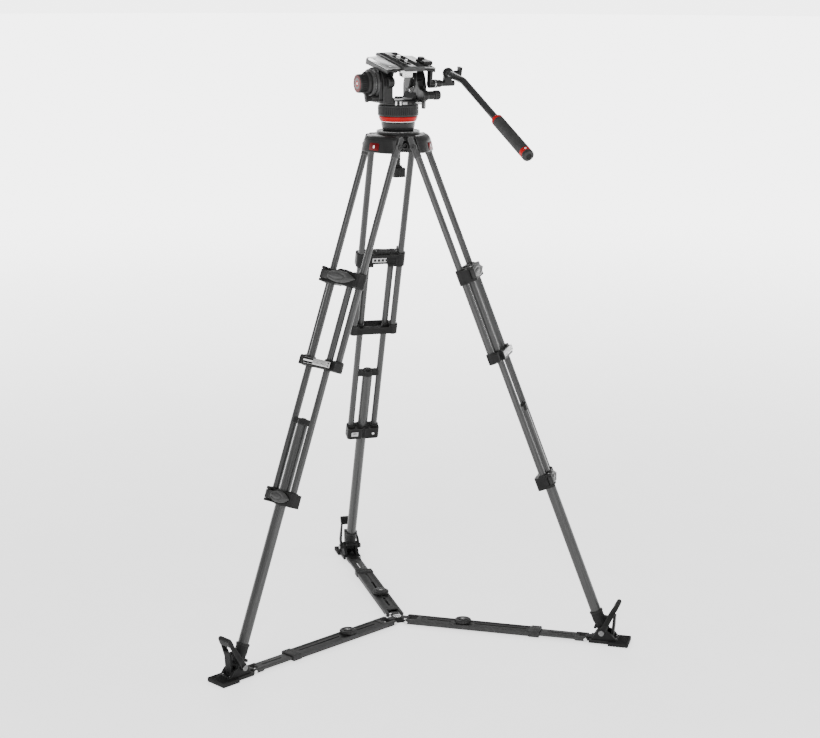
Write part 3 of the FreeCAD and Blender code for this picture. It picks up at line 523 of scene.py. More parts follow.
def lever_ears(low, high, u):
    ears = []
    for span in ((low + 1, low + 7), (high - 7, high - 1)):
        ears.append(boss(5.5, span, LEVER_V, u))
        ears.append(block((FACE_V - 5, LEVER_V), (u - 5.5, u + 5.5), span))
    return ears


def lever_gap(low, high, u):
    return rod(6.6, (low + 7, high - 7), "z", (LEVER_V, u), edge=0.1)


def bracket_shape():
    """Saddle-shaped in side view: thick at the upper tubes, thinner across the middle."""
    low, high = BRACKET
    parts = [rounded_bar(57.6, (-9.6, 26.0), (low + 1, high - 5.5), 8.0)]
    for side in (-1, 1):
        parts.append(boss(11.2, (low, high), 0, side * UPPER_U))
        parts.append(boss(10.9, (low, high - 1), STAGE_V, side * MIDDLE_U))
        parts.append(block((-9, 18), (side * 46 - 10, side * 46 + 10), (low + 1, high - 2)))
    cuts = []
    for side in (-1, 1):
        cuts.append(rod(TUBE_R, (low + 3, high + 5), "z", (0, side * UPPER_U), edge=0.1))
        cuts.append(rod(TUBE_R + 0.35, (low - 5, high + 5), "z", (STAGE_V, side * MIDDLE_U), edge=0.1))
        cuts.append(block((18.5, 32.0), (side * 50 - 10, side * 50 + 10), (low - 2, high + 2)))
    cuts.append(block((STAGE_V - 9.5, STAGE_V + 9.5), (-27.0, 27.0), (low - 5, high + 5)))
    cuts.append(rod(13.5, (low - 5, high + 5), "z", (STAGE_V, 0), edge=0.1))
    return cast(parts, cuts, 0.8, 3)


def clamp_3_shape():
    """Two ends that carry the middle tubes and a deep V between them, round the lower tube."""
    low, high = CLAMP_3
    parts = [rounded_bar(39.6, (-9.6, 21.6), (low + 1, high - 3), 7.0),
             boss(15.6, (low, high - 1), STAGE_V, 0)]
    for side in (-1, 1):
        parts.append(boss(10.8, (low + 4, high), STAGE_V, side * MIDDLE_U))
    parts += lever_ears(low, high, -33.0)
    notch = [(-20.0, -11.0), (-20.0, 11.0), (-6.4, 2.5), (-6.4, -2.5)]
    cuts = [prism(notch, "z", low - 4, high + 4)]
    cuts.append(rod(LOWER_R + 0.35, (low - 5, high + 5), "z", (STAGE_V, 0), edge=0.1))
    cuts.append(lever_gap(low, high, -33.0))
    return cast(parts, cuts, 0.8, 3)


def bridge_shape():
    parts = [block((STAGE_V - 8.2, STAGE_V + 8.2), (-25.8, 25.8), (BRIDGE[0] + 0.3, BRIDGE[1] - 1.2)),
             boss(12.4, BRIDGE, STAGE_V, 0), boss(5.0, (BRIDGE[1] - 3, BRIDGE[1] + 1.6), STAGE_V, 0)]
    cuts = [rod(TUBE_R + 0.35, (BRIDGE[0] - 5, BRIDGE[1] + 5), "z", (STAGE_V, s * MIDDLE_U), edge=0.1)
            for s in (-1, 1)]
    return cast(parts, cuts, 0.7, 2)


def lever_shape(span, u, tip):
    """Leaf-shaped lock lever, crowned on its face, with a thumb groove that follows its outline."""
    middle = (span[0] + span[1]) / 2
    start = u + 0.17 * (tip - u)
    length = tip - start
    half = 13.0
    widest = 0.42               # share of the length from root to tip
    rows = 26
    cols = 14
    bm = bmesh.new()
    front = []
    for i in range(rows + 1):
        t = i / rows
        swell = 0.62 + 0.38 * math.sin(min(t / widest, 1.0) * math.pi / 2)
        taper = 1 - max(0.0, (t - widest) / (1 - widest)) ** 2.3
        width = half * swell * taper
        row = []
        for k in range(cols + 1):
            s = 2 * k / cols - 1
            along, across = start + length * t, max(width, 0.4) * s
            crown = 6.6 * (1 - 0.6 * s * s) * (1 - 0.5 * t * t)
            ring = math.hypot((t - 0.30) / 0.34, s / 0.55)
            groove = 2.6 * math.exp(-((ring - 0.95) / 0.15) ** 2) if t > 0.06 else 0.0
            row.append(bm.verts.new((FACE_V + 1.3 + crown - groove, along, middle + across)))
        front.append(row)
    back = [[bm.verts.new((FACE_V + 0.8, v.co.y, v.co.z)) for v in row] for row in front]
    for i in range(rows):
        for k in range(cols):
            bm.faces.new((front[i][k], front[i + 1][k], front[i + 1][k + 1], front[i][k + 1]))
            bm.faces.new((back[i][k], back[i][k + 1], back[i + 1][k + 1], back[i + 1][k]))
    for i in range(rows):
        bm.faces.new((front[i][0], back[i][0], back[i + 1][0], front[i + 1][0]))
        bm.faces.new((front[i][cols], front[i + 1][cols], back[i + 1][cols], back[i][cols]))
    for k in range(cols):
        bm.faces.new((front[0][k], front[0][k + 1], back[0][k + 1], back[0][k]))
        bm.faces.new((front[rows][k], back[rows][k], back[rows][k + 1], front[rows][k + 1]))
    blade = with_modifiers(to_mesh(bm), [("SUBSURF", {"levels": 1})])
    hub = boss(5.4, (span[0] + 7.7, span[1] - 7.7), LEVER_V, u)
    root = bevelled(block((FACE_V + 0.9, FACE_V + 6.8), (u, start + 2), (span[0] + 8, span[1] - 8)), 1.2, 3)
    pin = rod(2.5, (span[0] + 1.5, span[1] - 1.5), "z", (LEVER_V, u), edge=0.3, steps=24)
    return blade, joined([hub, root, pin])


def screw_head(radius, height):
    """Socket screw head on the origin, facing +Z."""
    socket = radius * 0.5
    profile = [(0.0, -1.0), (radius, -1.0), (radius, height * 0.7), (radius * 0.86, height), (socket, height),
               (socket * 0.94, height * 0.25), (0.0, height * 0.2)]
    return lathe(profile, steps=28)


def facing(direction, at):
    """A place whose +Z points along a direction, inside a part's frame."""
    turn = Vector(direction).to_track_quat("Z", "Y").to_matrix().to_4x4()
    return Matrix.Translation(Vector(at) * MM) @ turn


def label(name, width, height, body, place, marks):
    """A thin plate with marks (left, right, low, high) standing just proud of it."""
    half_w, half_h = width / 2, height / 2
    add(name, bevelled(block((-half_w, half_w), (-half_h, half_h), (-0.4, 0.5)), 0.3), body, "label", place)
    for k, (left, right, low, high, material) in enumerate(marks):
        add(f"{name}_mark{k}", block((left, right), (low, high), (0.4, 0.72)), body, material, place)


def scale_marks():
    """A generic height scale: a striped end and a row of ticks."""
    marks = [(-41.5, -12.0, 1.6, 6.0, "dark"), (-41.5, -12.0, -6.0, -2.0, "dark"),
             (-41.5, -12.0, -1.8, 1.4, "white")]
    marks += [(-8 + 4.0 * k, -7.4 + 4.0 * k, -3.0, -1.0 if k % 3 else 1.0, "dark") for k in range(10)]
    marks += [(35.0, 39.0, -4.6, -1.8, "dark"), (35.0, 39.0, 1.6, 4.4, "dark")]
    return marks


def make_leg(leg, shapes):
    upper, middle, lower = (f"leg_{leg}_{stage}" for stage in ("upper", "middle", "lower"))
    place = LEG[leg]
    make_tubes(leg)
    castings = [f"{upper}_castings"]
    add(f"leg_head_{leg}", shapes["head"], upper, "horn", place, castings)
    add(f"bracket_{leg}", shapes["bracket"], upper, "cast", place, castings)
    clamps = [f"{middle}_clamps"]
    add(f"top_clamp_{leg}", shapes["clamp_1"], middle, "cast", place, clamps)
    add(f"lower_clamp_{leg}", shapes["clamp_3"], middle, "cast", place, clamps)
    lowers = [f"{lower}_castings"]
    add(f"bridge_{leg}", shapes["bridge"], lower, "cast", place, lowers)
    add(f"boot_{leg}", shapes["boot"], lower, "cast", place, lowers)
    for stage, key in ((middle, "lever_1"), (lower, "lever_3")):
        blade, root = shapes[key]
        lock = f"{stage}_lever"
        add(f"{lock}_blade", blade, lock, "lever", place, [lock])
        add(f"{lock}_root", root, lock, "cast", place, [lock])

    screw = screw_head(3.4, 2.2)
    for side in (-1, 1):
        at = facing((0, 0, 1), (6.0, side * 8.0, CLAMP_1[1] - 1.2))
        add(f"clamp_screw_{leg}_{'lr'[side > 0]}", screw, middle, "steel", place @ at)
    for k, (half, span) in enumerate(((46.0, CLAMP_1), (34.0, CLAMP_3))):
        at = facing((0, 0, 1), (LEVER_V, -half - (2 if k == 0 else -1), span[1] - 1.4))
        add(f"lever_pin_{leg}_{k}", screw_head(2.6, 1.2), middle, "steel", place @ at)
    inner = Matrix(((0, 0, -1, 0), (-1, 0, 0, 0), (0, 1, 0, 0), (0, 0, 0, 1)))
    plate_1 = Matrix.Translation(Vector((-7.3, 4.0, -303.0)) * MM) @ inner
    label(f"top_label_{leg}", 34, 11, middle, place @ plate_1,
          [(-13.5 + 9.2 * k, -7.5 + 9.2 * k, -3.2, 3.2, "dark") for k in range(4)])
    plate_3 = Matrix.Translation(Vector((-9.5, 22.0, -799.0)) * MM) @ inner
    label(f"lower_label_{leg}", 17, 12, middle, place @ plate_3, [(-4.5, 4.5, 0.5, 3.0, "dark")])
    add(f"facet_screw_{leg}", screw_head(3.2, 0.8), middle, "bright",
        place @ facing((-1, 0, 0), (-9.6, -24.0, -799.0)))
    outward = Matrix(((0, 0, 1, 0), (1, 0, 0, 0), (0, 1, 0, 0), (0, 0, 0, 1)))
    plate_2 = Matrix.Translation(Vector((25.8, 7.0, -496.0)) * MM) @ outward
    label(f"scale_label_{leg}", 84, 13, upper, place @ plate_2, scale_marks())


# ------------------------------------------------------------ feet; boots in the leg frame, the rest radial
PIVOT = (485.0, 29.5)         # foot bolt, radius and height
ARM_PIN = (448.0, 7.4)


def boot_shape():
    v, w_foot = STAGE_V, -1170.6
    parts = [boss(14.2, (-1146.0, -1122.0), v, 0), boss(15.4, (-1127.0, -1122.0), v, 0),
             lathe([(0, -1166), (10.5, -1162), (13.6, -1146), (14.2, -1140), (0, -1140)], "z", (v, 0), 40),
             block((v - 9, v + 9), (-9.9, 9.9), (w_foot, -1154.0)),
             rod(10.4, (-9.9, 9.9), "y", (v, w_foot), edge=0.8),
             prism([(v + 4, -1128), (v + 10, -1128), (v + 14, -1139), (v + 26.5, -1146), (v + 26.5, -1151),
                    (v + 8, w_foot), (v, w_foot)], "y", -5.0, 5.0),
             rod(3.6, (-13.8, 13.8), "y", (v - 12.0, -1157.0), edge=0.6)]
    for side in (-1, 1):
        parts.append(prism([(v - 8, -1164), (v + 8, -1164), (v + 4, -1134), (v - 4, -1134)], "y",
                           *on_side(side, 9.0, 13.0)))
    cuts = [rod(LOWER_R, (-1150.0, -1115.0), "z", (v, 0), edge=0.1)]
    return cast(parts, cuts, 0.8, 3)


def shoe_shape():
    r, z = PIVOT
    parts = [block((456.0, 500.0), (-22.8, 22.8), (2.6, 10.6)),
             block((496.0, 521.0), (-17.5, 17.5), (11.0, 13.6))]
    for side in (-1, 1):
        low, high = side * 15 - 3.7, side * 15 + 3.7
        parts.append(prism([(460, 9), (508, 9), (r + 11.4, z + 2), (r - 11.4, z + 2)], "y", low, high))
        parts.append(rod(11.8, (low, high), "y", (r, z), edge=0.8))
        parts.append(prism([(498, 9), (520, 11), (507, 26), (497, 30)], "y", side * 15 - 3.4,
                           side * 15 + 3.4))
    parts.append(prism([(504, 12), (510, 12), (512.5, 40), (514, 66), (510.5, 68), (508, 62), (506, 38)],
                       "y", -9.0, 9.0))
    parts.append(capsule((462.0, 7.4), ARM_PIN, 5.4, "y", -9.4, 9.4))
    cuts = [block((470.0, 499.0), (-11.0, 11.0), (12.5, 60.0))]
    return cast(parts, cuts, 0.8, 3)


def sole_shape():
    """Rubber sole: a thick pad with a raised rim, a ribbed top tray and grooved tread below."""
    body = bevelled(block((500.2, 546.3), (-27.8, 27.8), (0.2, 10.8)), 2.2, 4)
    cuts = [block((524.5, 543.0), (-24.0, 24.0), (9.4, 14.0))]
    cuts += [block((503.0 + 7 * k, 505.0 + 7 * k), (-30.0, 30.0), (-2.0, 1.4)) for k in range(6)]
    ribs = [bevelled(block((526.0 + 4.2 * k, 528.0 + 4.2 * k), (-22.5, 22.5), (9.2, 10.6)), 0.4)
            for k in range(4)]
    return joined([carved(body, cuts)] + ribs)


def bail_shape():
    """Foot lever: two dished cheeks that meet in a ribbed toe bar."""
    start, end, near = PIVOT, (518.0, 95.0), (513.0, 85.0)
    sides = [capsule(start, near, 7.0, "y", s * 22.5 - 2.5, s * 22.5 + 2.5, 5.0) for s in (-1, 1)]
    sides += [capsule((r0, z0), (r1, z1), 4.0, "y", s * 20.6 - 1.0, s * 20.6 + 1.0, 3.0) for s in (-1, 1)
              for r0, z0, r1, z1 in ((492.0, 40.0, 508.0, 76.0),)]
    bar = capsule(near, end, 5.8, "y", -25.0, 25.0, 5.0)
    cuts = [block((470.0, 530.0), (-18.5, 18.5), (0.0, 79.0))]
    body = cast(sides + [bar], cuts, 0.7, 3)
    ribs = [rod(5.6, (-19.5 + 6.2 * k, -17.6 + 6.2 * k), "y", end, edge=0.5, steps=24) for k in range(7)]
    whole = joined([body] + ribs)
    for vertex in whole.vertices:        # the cheeks draw together toward the toe
        vertex.co.y *= 1 - 0.32 * min(max((vertex.co.z - 46.0) / 34.0, 0.0), 1.0)
    return whole


def pin_with_heads(at, half, radius, head_radius, head):
    parts = [rod(radius, (-half, half), "y", at, edge=0.2, steps=28)]
    for side in (-1, 1):
        span = on_side(side, half - 0.6, half - 0.6 + head)
        parts.append(rod(head_radius, span, "y", at, edge=0.7, steps=32))
    return joined(parts)


def make_foot(leg, shapes):
    foot, place = f"foot_{leg}", RADIAL[leg]
    nodes = [f"foot_{leg}_shoe"]
    add(f"shoe_{leg}", shapes["shoe"], foot, "cast", place, nodes)
    add(f"sole_{leg}", shapes["sole"], foot, "rubber", place, nodes)
    add(f"foot_bolt_{leg}", shapes["foot_bolt"], foot, "edge", place, nodes)
    add(f"arm_pin_{leg}", shapes["arm_pin"], foot, "steel", place, nodes)
    for side in (-1, 1):
        add(f"sole_screw_{leg}_{'lr'[side > 0]}", screw_head(3.0, 1.6), foot, "steel",
            place @ facing((0, 0, 1), (514.5, side * 12.0, 13.4)))
    add(f"bail_{leg}", shapes["bail"], f"{foot}_lever", "cast", place, [f"foot_{leg}_lever"])


# ---------------------------------------------------------------- spreader, in the radial frame
ARM_HALF = 20.0
CHANNEL_Y = (-16.35, 16.35)   # the way of the inner strip through the sleeve
CHANNEL_Z = (4.2, 11.4)
KNOB_R = 158.0                # the disc knob, measured from the hub


def slot_cut(low, high, radius, z0, z1):
    return capsule((low, 0.0), (high, 0.0), radius, "z", z0, z1)


def outer_arm_shape():
    """Flat sleeve with raised side rails, a slotted top, a collar and two ears at the hub end."""
    body = bevelled(block((48.0, 330.0), (-ARM_HALF, ARM_HALF), (2.6, 13.9)), 1.6, 3)
    panel = block((60.0, 312.0), (-13.0, 13.0), (13.1, 16.0))
    cuts = [panel, slot_cut(76, 128, 3.0, 0.0, 16.0), slot_cut(188, 306, 2.8, 9.0, 16.0),
            block((66.0, 345.0), CHANNEL_Y, CHANNEL_Z), block((30.0, 67.0), (-12.35, 12.35), CHANNEL_Z),
            rod(3.4, (0.0, 20.0), "z", (KNOB_R, 0.0), edge=0.1)]
    sleeve = carved(body, cuts)
    collar = carved(bevelled(block((316.0, 341.0), (-21.4, 21.4), (1.8, 15.4)), 1.8, 3),
                    [block((300.0, 350.0), CHANNEL_Y, CHANNEL_Z)])
    ribs = [bevelled(block((319.5 + 5.5 * k, 321.5 + 5.5 * k), (-20.0, 20.0), (14.8, 16.0)), 0.4)
            for k in range(4)]
    ears = [bevelled(capsule((56.0, 8.25), (26.0, 8.25), 5.6, "y", s * 16.5 - 3.4, s * 16.5 + 3.4), 0.8, 2)
            for s in (-1, 1)]
    return joined([sleeve] + ears), joined([collar] + ribs)


def inner_arm_shape():
    strip = bevelled(block((150.0, 432.0), (-16.0, 16.0), (4.7, 10.9)), 0.9, 2)
    tail = block((117.0, 151.0), (-12.0, 12.0), (4.7, 10.9))
    cuts = [slot_cut(126, 250, 3.6, 0.0, 20.0), slot_cut(362, 414, 2.6, 0.0, 20.0)]
    body = carved(boolean(strip, [tail], "UNION"), cuts)
    ears = [bevelled(capsule((426.0, 7.4), ARM_PIN, 5.3, "y", s * 13.1 - 2.8, s * 13.1 + 2.8), 0.7, 2)
            for s in (-1, 1)]
    return joined([body] + ears)


def arm_knob_shape():
    profile = [(0, 14.9), (16.5, 14.9), (18.6, 16.2), (19.4, 18.6), (19.0, 21.4), (17.2, 22.6), (13.4, 22.9),
               (12.2, 22.1), (10.8, 22.1), (9.6, 23.6), (0, 24.0)]
    grip = lathe([(r, z) for r, z in profile], "z", (KNOB_R, 0.0), 72)
    scallop = rod(3.2, (10.0, 26.0), "z", (KNOB_R + 21.3, 0.0), edge=0.1, steps=24)
    grip = carved(grip, ring_of(scallop, 12, "Z", (KNOB_R, 0.0, 0.0)))
    stud = rod(3.0, (3.3, 18.0), "z", (KNOB_R, 0.0), edge=0.3, steps=24)
    return joined([grip, stud])


def hub_shape():
    parts = [boss(12.8, (0.2, 13.6), 0, 0)]
    for leg, heading in zip(LEGS, HEADINGS):
        tongue = capsule((4.0, 7.4), (26.0, 7.4), 6.3, "y", -7.9, 7.9)
        if leg != "a":
            tongue = carved(tongue, [block((15.0, 40.0), (-12.0, 12.0), (3.2, 11.6))])
        parts.append(turned(tongue, heading))
    return cast(parts, grain=0.6, rounds=2)


def make_spreader(leg, shapes):
    place = RADIAL[leg]
    outer, inner, knob = (f"spreader_{leg}_{part}" for part in ("outer", "inner", "knob"))
    sleeve, collar = shapes["outer"]
    add(f"outer_arm_{leg}", sleeve, outer, "arm", place, [outer])
    add(f"arm_collar_{leg}", collar, outer, "cast", place, [outer])
    add(f"hub_pin_{leg}", shapes["hub_pin"], outer, "steel", place, [outer])
    add(f"inner_arm_{leg}", shapes["inner"], inner, "arm", place, [inner])
    add(f"arm_knob_{leg}", shapes["knob"], knob, "plastic", place, [knob])
    add(f"arm_knob_cap_{leg}", rod(4.6, (23.4, 24.0), "z", (KNOB_R, 0.0), edge=0.3), knob, "edge", place)


def make_hub():
    add("hub", hub_shape(), "spreader_hub", "cast", ROW, ["spreader_hub"])
    add("hub_ring", lathe([(6.6, 13.2), (9.6, 13.2), (9.6, 14.0), (9.0, 14.0), (6.9, 14.0), (6.6, 13.8)]),
        "spreader_hub", "steel")
    add("hub_screw", screw_head(4.6, 0.9), "spreader_hub", "steel", facing((0, 0, 1), (0, 0, 13.1)))


def make_all_legs():
    leg_shapes = {
        "head": leg_head_shape(), "bracket": bracket_shape(), "clamp_1": clamp_1_shape(),
        "clamp_3": clamp_3_shape(), "bridge": bridge_shape(), "boot": boot_shape(),
        "lever_1": lever_shape(CLAMP_1, -48.0, 52.0), "lever_3": lever_shape(CLAMP_3, -33.0, 34.0),
    }
    foot_shapes = {
        "shoe": shoe_shape(), "sole": sole_shape(), "bail": bail_shape(),
        "foot_bolt": pin_with_heads(PIVOT, 26.0, 4.0, 6.4, 2.8),
        "arm_pin": pin_with_heads(ARM_PIN, 17.0, 3.0, 4.2, 2.8),
    }
    arm_shapes = {"outer": outer_arm_shape(), "inner": inner_arm_shape(), "knob": arm_knob_shape(),
                  "hub_pin": pin_with_heads((26.0, 7.4), 20.4, 3.0, 4.2, 2.2)}
    for leg in LEGS:
        make_leg(leg, leg_shapes)
        make_foot(leg, foot_shapes)
        make_spreader(leg, arm_shapes)
    make_hub()


# ---------------------------------------------------------------- crown, in the row frame
HINGE_R = 49.24
HINGE_Z = 1116.0
BALL_Z = 1163.0
LOBE_OUTER = [            # nose radius, side radius, half width, height
    (76.3, 63.2, 53.5, 1102.0), (73.6, 58.8, 53.5, 1115.0), (71.0, 54.4, 53.0, 1127.0),
    (69.0, 52.4, 52.4, 1131.5),
    (65.5, 50.2, 51.0, 1135.5), (60.5, 47.0, 49.0, 1138.2), (54.0, 42.0, 46.0, 1139.4)]
LOBE_INNER = [
    (73.3, 56.2, 35.3, 1098.0), (70.6, 53.6, 35.3, 1115.0), (67.6, 51.2, 35.0, 1127.0),
    (57.6, 41.0, 31.0, 1135.6)]


def lobe(levels, bow=2.4):
    """One skirted lobe: in plan a broad curve across the leg, wider and deeper at the bottom."""
    steps = 28
    bm = bmesh.new()
    rings = []
    for nose, flank, half, height in levels:
        across = [2 * k / steps - 1 for k in range(steps + 1)]
        ring = [bm.verts.new((nose - (nose - flank) * abs(u) ** bow, half * u, height)) for u in across]
        ring += [bm.verts.new((14.0, u, height)) for u in (half, -half)]
        rings.append(ring)
    return skinned(bm, rings)


ACCESSORY = -102.0          # azimuth of the boss with the threaded hole


def crown_shape():
    skirts = [turned(lobe(LOBE_OUTER), heading) for heading in HEADINGS]
    hollows = [turned(lobe(LOBE_INNER, 2.0), heading) for heading in HEADINGS]
    head_way = [(20, 1095), (67.0, 1095), (64.6, 1102), (59.1, 1116), (54.4, 1128), (50.2, 1139),
                (48, 1146), (20, 1146)]
    hollows += [turned(prism(head_way, "y", *on_side(s, 38.7, 62.0)), heading)
                for heading in HEADINGS for s in (-1, 1)]
    shell = carved(with_modifiers(joined(skirts), [("REMESH", {"mode": "VOXEL", "voxel_size": 0.9})]),
                   hollows)
    parts = [shell, lathe([(0, 1108), (20, 1109.6), (30, 1114.6), (40, 1122.4), (40, 1136.5), (49.8, 1136.5),
                           (49.6, 1138.0), (48.0, 1141.5), (47.8, 1146.0), (0, 1146.0)], steps=96)]
    for heading in HEADINGS:
        for side in (-1, 1):
            parts.append(turned(block((28, 53), (side * 36 - 2.3, side * 36 + 2.3), (1106, 1127)), heading))
        parts.append(turned(block((34, 50), (-1.5, 1.5), (1117, 1139)), heading + 60))
        parts.append(turned(block((34, 56), (-3.2, 3.2), (1127.5, 1133.5)), heading + 60))
    parts.append(turned(rod(6.8, (30.0, 62.0), "x", (0.0, 1117.0), edge=1.2), ACCESSORY))
    ball = lathe([(0, BALL_Z - 37.5)] + dome(37.5, BALL_Z, 7.5, 7.5, 12) + [(37.5, 1180), (0, 1180)],
                 steps=96)
    cuts = [ball, rod(20.8, (1100, 1142), edge=0.1),
            turned(rod(4.8, (52, 66), "x", (0.0, 1117.0), edge=0.1), ACCESSORY)]
    return cast(parts, cuts, 0.9, 3)


def make_crown():
    add("crown_body", crown_shape(), "crown", "shell", ROW, ["crown"])
    add("bowl_lip", lathe([(44.6, 1145.0), (47.7, 1145.0), (47.9, 1146.0), (47.3, 1146.7), (45.2, 1146.7)],
                          steps=96),
        "crown", "edge")
    pin = joined([rod(3.5, (-57.0, 57.0), "y", (HINGE_R, HINGE_Z), edge=0.4, steps=28)]
                 + [rod(5.5, (s * 56.8 - 1.2, s * 56.8 + 1.2), "y", (HINGE_R, HINGE_Z), edge=0.7)
                    for s in (-1, 1)])
    corners = ((-1, -0.8), (-0.9, -1), (0.9, -1), (1, -0.8), (1, 0.8), (0.9, 1), (-0.9, 1), (-1, 0.8))
    badge = bevelled(prism([(x * 14.2, y * 8.2) for x, y in corners], "z", -4.0, 0.7), 0.4)
    mark = bevelled(prism([(2.8 * p, 3.5 * q) for p, q in circle(1.0, 32)], "z", 0.5, 1.0), 0.2)
    for leg in LEGS:
        place = RADIAL[leg]
        add(f"hinge_pin_{leg}", pin, "crown", "cast", place, ["leg_hinge_pins"])
        for side in (-1, 1):
            add(f"hinge_cap_{leg}_{'lr'[side > 0]}", screw_head(4.4, 0.5), "crown", "cast",
                place @ facing((0, side, 0), (HINGE_R, side * 57.9, HINGE_Z)))
        front = place @ facing((math.cos(0.2), 0, math.sin(0.2)), (73.7, 0.0, 1115.0))
        add(f"badge_{leg}", badge, "crown", "deep_red", front)
        add(f"badge_mark_{leg}", mark, "crown", "white", front)


# ---------------------------------------------------------------- ball, pan base and what hangs below
def make_base():
    ball = [(0, 1131.0), (19.0, 1131.0)] + dome(37.4, BALL_Z, 31.3, 4.9, 13)
    ball += [(37.4, 1164.5), (38.2, 1166.0), (39.0, 1166.6), (36.0, 1168.0), (36.0, 1202.0), (11.9, 1202.4),
             (11.9, 1210.0), (0, 1210.0)]
    add("half_ball", lathe(ball, steps=96), "half_ball", "gloss", ROW, ["half_ball"])
    add("red_ring", lathe([(35.9, 1167.4), (39.2, 1167.4), (40.0, 1168.0), (42.6, 1174.6), (42.9, 1176.4),
                           (42.2, 1177.8), (35.9, 1177.8)], steps=96), "half_ball", "red")
    # Painted highlight: a bright steel band under the red ring, put where a highlight line runs along the
    # ring's lower edge.
    add("red_ring_painted_highlight", lathe([(35.9, 1166.2), (38.6, 1166.2), (39.2, 1166.7), (39.2, 1167.4), (35.9, 1167.4)],
                           steps=96),
        "half_ball", "steel")
    rod_parts = [rod(5.0, (1060.5, 1150.0), edge=0.5, steps=32)]
    rod_parts += [lathe([(4.9, 1069.4 + 1.5 * k), (5.35, 1070.1 + 1.5 * k), (4.9, 1070.8 + 1.5 * k)],
                        steps=32)
                  for k in range(18)]
    add("levelling_rod", joined(rod_parts), "half_ball", "gloss", ROW, ["leveling_rod"])
    cup = [(5.4, 1101.6), (18.0, 1103.4), (23.2, 1106.2), (23.6, 1109.0), (22.6, 1110.6), (14.0, 1107.4),
           (5.4, 1105.8)]
    add("clamp_cup", lathe(cup, steps=64), "half_ball", "cast", ROW, ["leveling_rod"])
    scallops = ring_of(rod(3.0, (1040.0, 1061.0), "z", (15.4, 0.0), edge=0.1), 4)
    grip = cast([rounded_bar(13.4, (-13.4, 13.4), (1043.2, 1064.0), 5.0), boss(9.0, (1060.0, 1069.0), 0, 0)],
                scallops + [rod(5.06, (1058.0, 1072.0), edge=0.05)], 0.6, 3)
    add("bowl_clamp_grip", grip, "bowl_clamp_knob", "plastic", ROW, ["bowl_clamp_knob"])
    ring = [(36.5, 1179.0), (43.6, 1178.7), (44.9, 1180.0), (45.0, 1183.0), (45.0, 1199.5), (44.6, 1201.6),
            (43.2, 1202.8), (36.5, 1202.8)]
    flute = rod(1.5, (1182.0, 1199.0), "z", (45.8, 0.0), edge=1.0, steps=12)
    add("drag_ring", carved(lathe(ring, steps=180), ring_of(flute, 60)), "pan_drag_ring", "plastic", ROW,
        ["pan_drag_ring"])


# ---------------------------------------------------------------- yoke, in the row frame
TILT_Z = 1251.0
FLOOR_Z = 1213.0
DIAL = (-56.5, 1225.0)
LOCK = (-18.0, 1219.5)
PAN_LOCK = (-46.0, 1207.5)    # azimuth, height


def upright(x, depth, radius):
    """A slab, straight below and rounded about the tilt axis."""
    outline = [(-depth, FLOOR_Z - 3.8), (depth, FLOOR_Z - 3.8), (depth, TILT_Z - 6)]
    outline += [(radius * math.sin(a), TILT_Z + radius * math.cos(a)) for a in
                [math.radians(84 - 12 * k) for k in range(15)]]
    return prism(outline + [(-depth, TILT_Z - 6)], "x", *x)


def ring_disc(profile, steps=96):
    """Discs about the tilt axis: (radius, x) points."""
    return lathe(profile, "x", (0.0, TILT_Z), steps)


def yoke_shape():
    parts = [lathe([(0, 1203.7), (41.6, 1203.7), (42.0, 1205.0), (41.0, 1212.6), (0, 1213.0)], steps=96),
             block((-59.8, 51.8), (-31.5, 31.5), (FLOOR_Z - 3.6, FLOOR_Z + 2)),
             upright((-52.8, -29.3), 33.6, 32.6), upright((-60.0, -50.0), 27.6, 28.6),
             upright((29.3, 51.8), 35.6, 32.6),
             rod(11.3, (-44.0, -29.4), "x", (-34.0, TILT_Z + 3.0), edge=1.5),
             rod(6.5, (-74.7, -56.0), "x", LOCK, edge=1.0),
             rod(11.5, (29.4, 41.8), "x", DIAL, edge=1.4), rod(9.4, (38.0, 57.5), "x", DIAL, edge=1.2),
             prism([(-30, 1214), (-54, 1215), (-56, 1236), (-46, 1238), (-39, 1244), (-35.5, 1256),
                    (-30, 1256)],
                   "x", 29.6, 41.6)]
    for side in (-1, 1):
        foot = [(side * 29.0, FLOOR_Z), (side * 29.0, FLOOR_Z + 16), (side * 22.0, FLOOR_Z + 3),
                (side * 18.0, FLOOR_Z)]
        parts.append(prism(foot, "y", -26.0, 26.0))
    cuts = [rod(24.0, (-31.5, -20.0), "x", (0.0, TILT_Z), edge=0.1),
            rod(24.0, (20.0, 31.5), "x", (0.0, TILT_Z), edge=0.1)]
    return cast(parts, cuts, 0.9, 4)


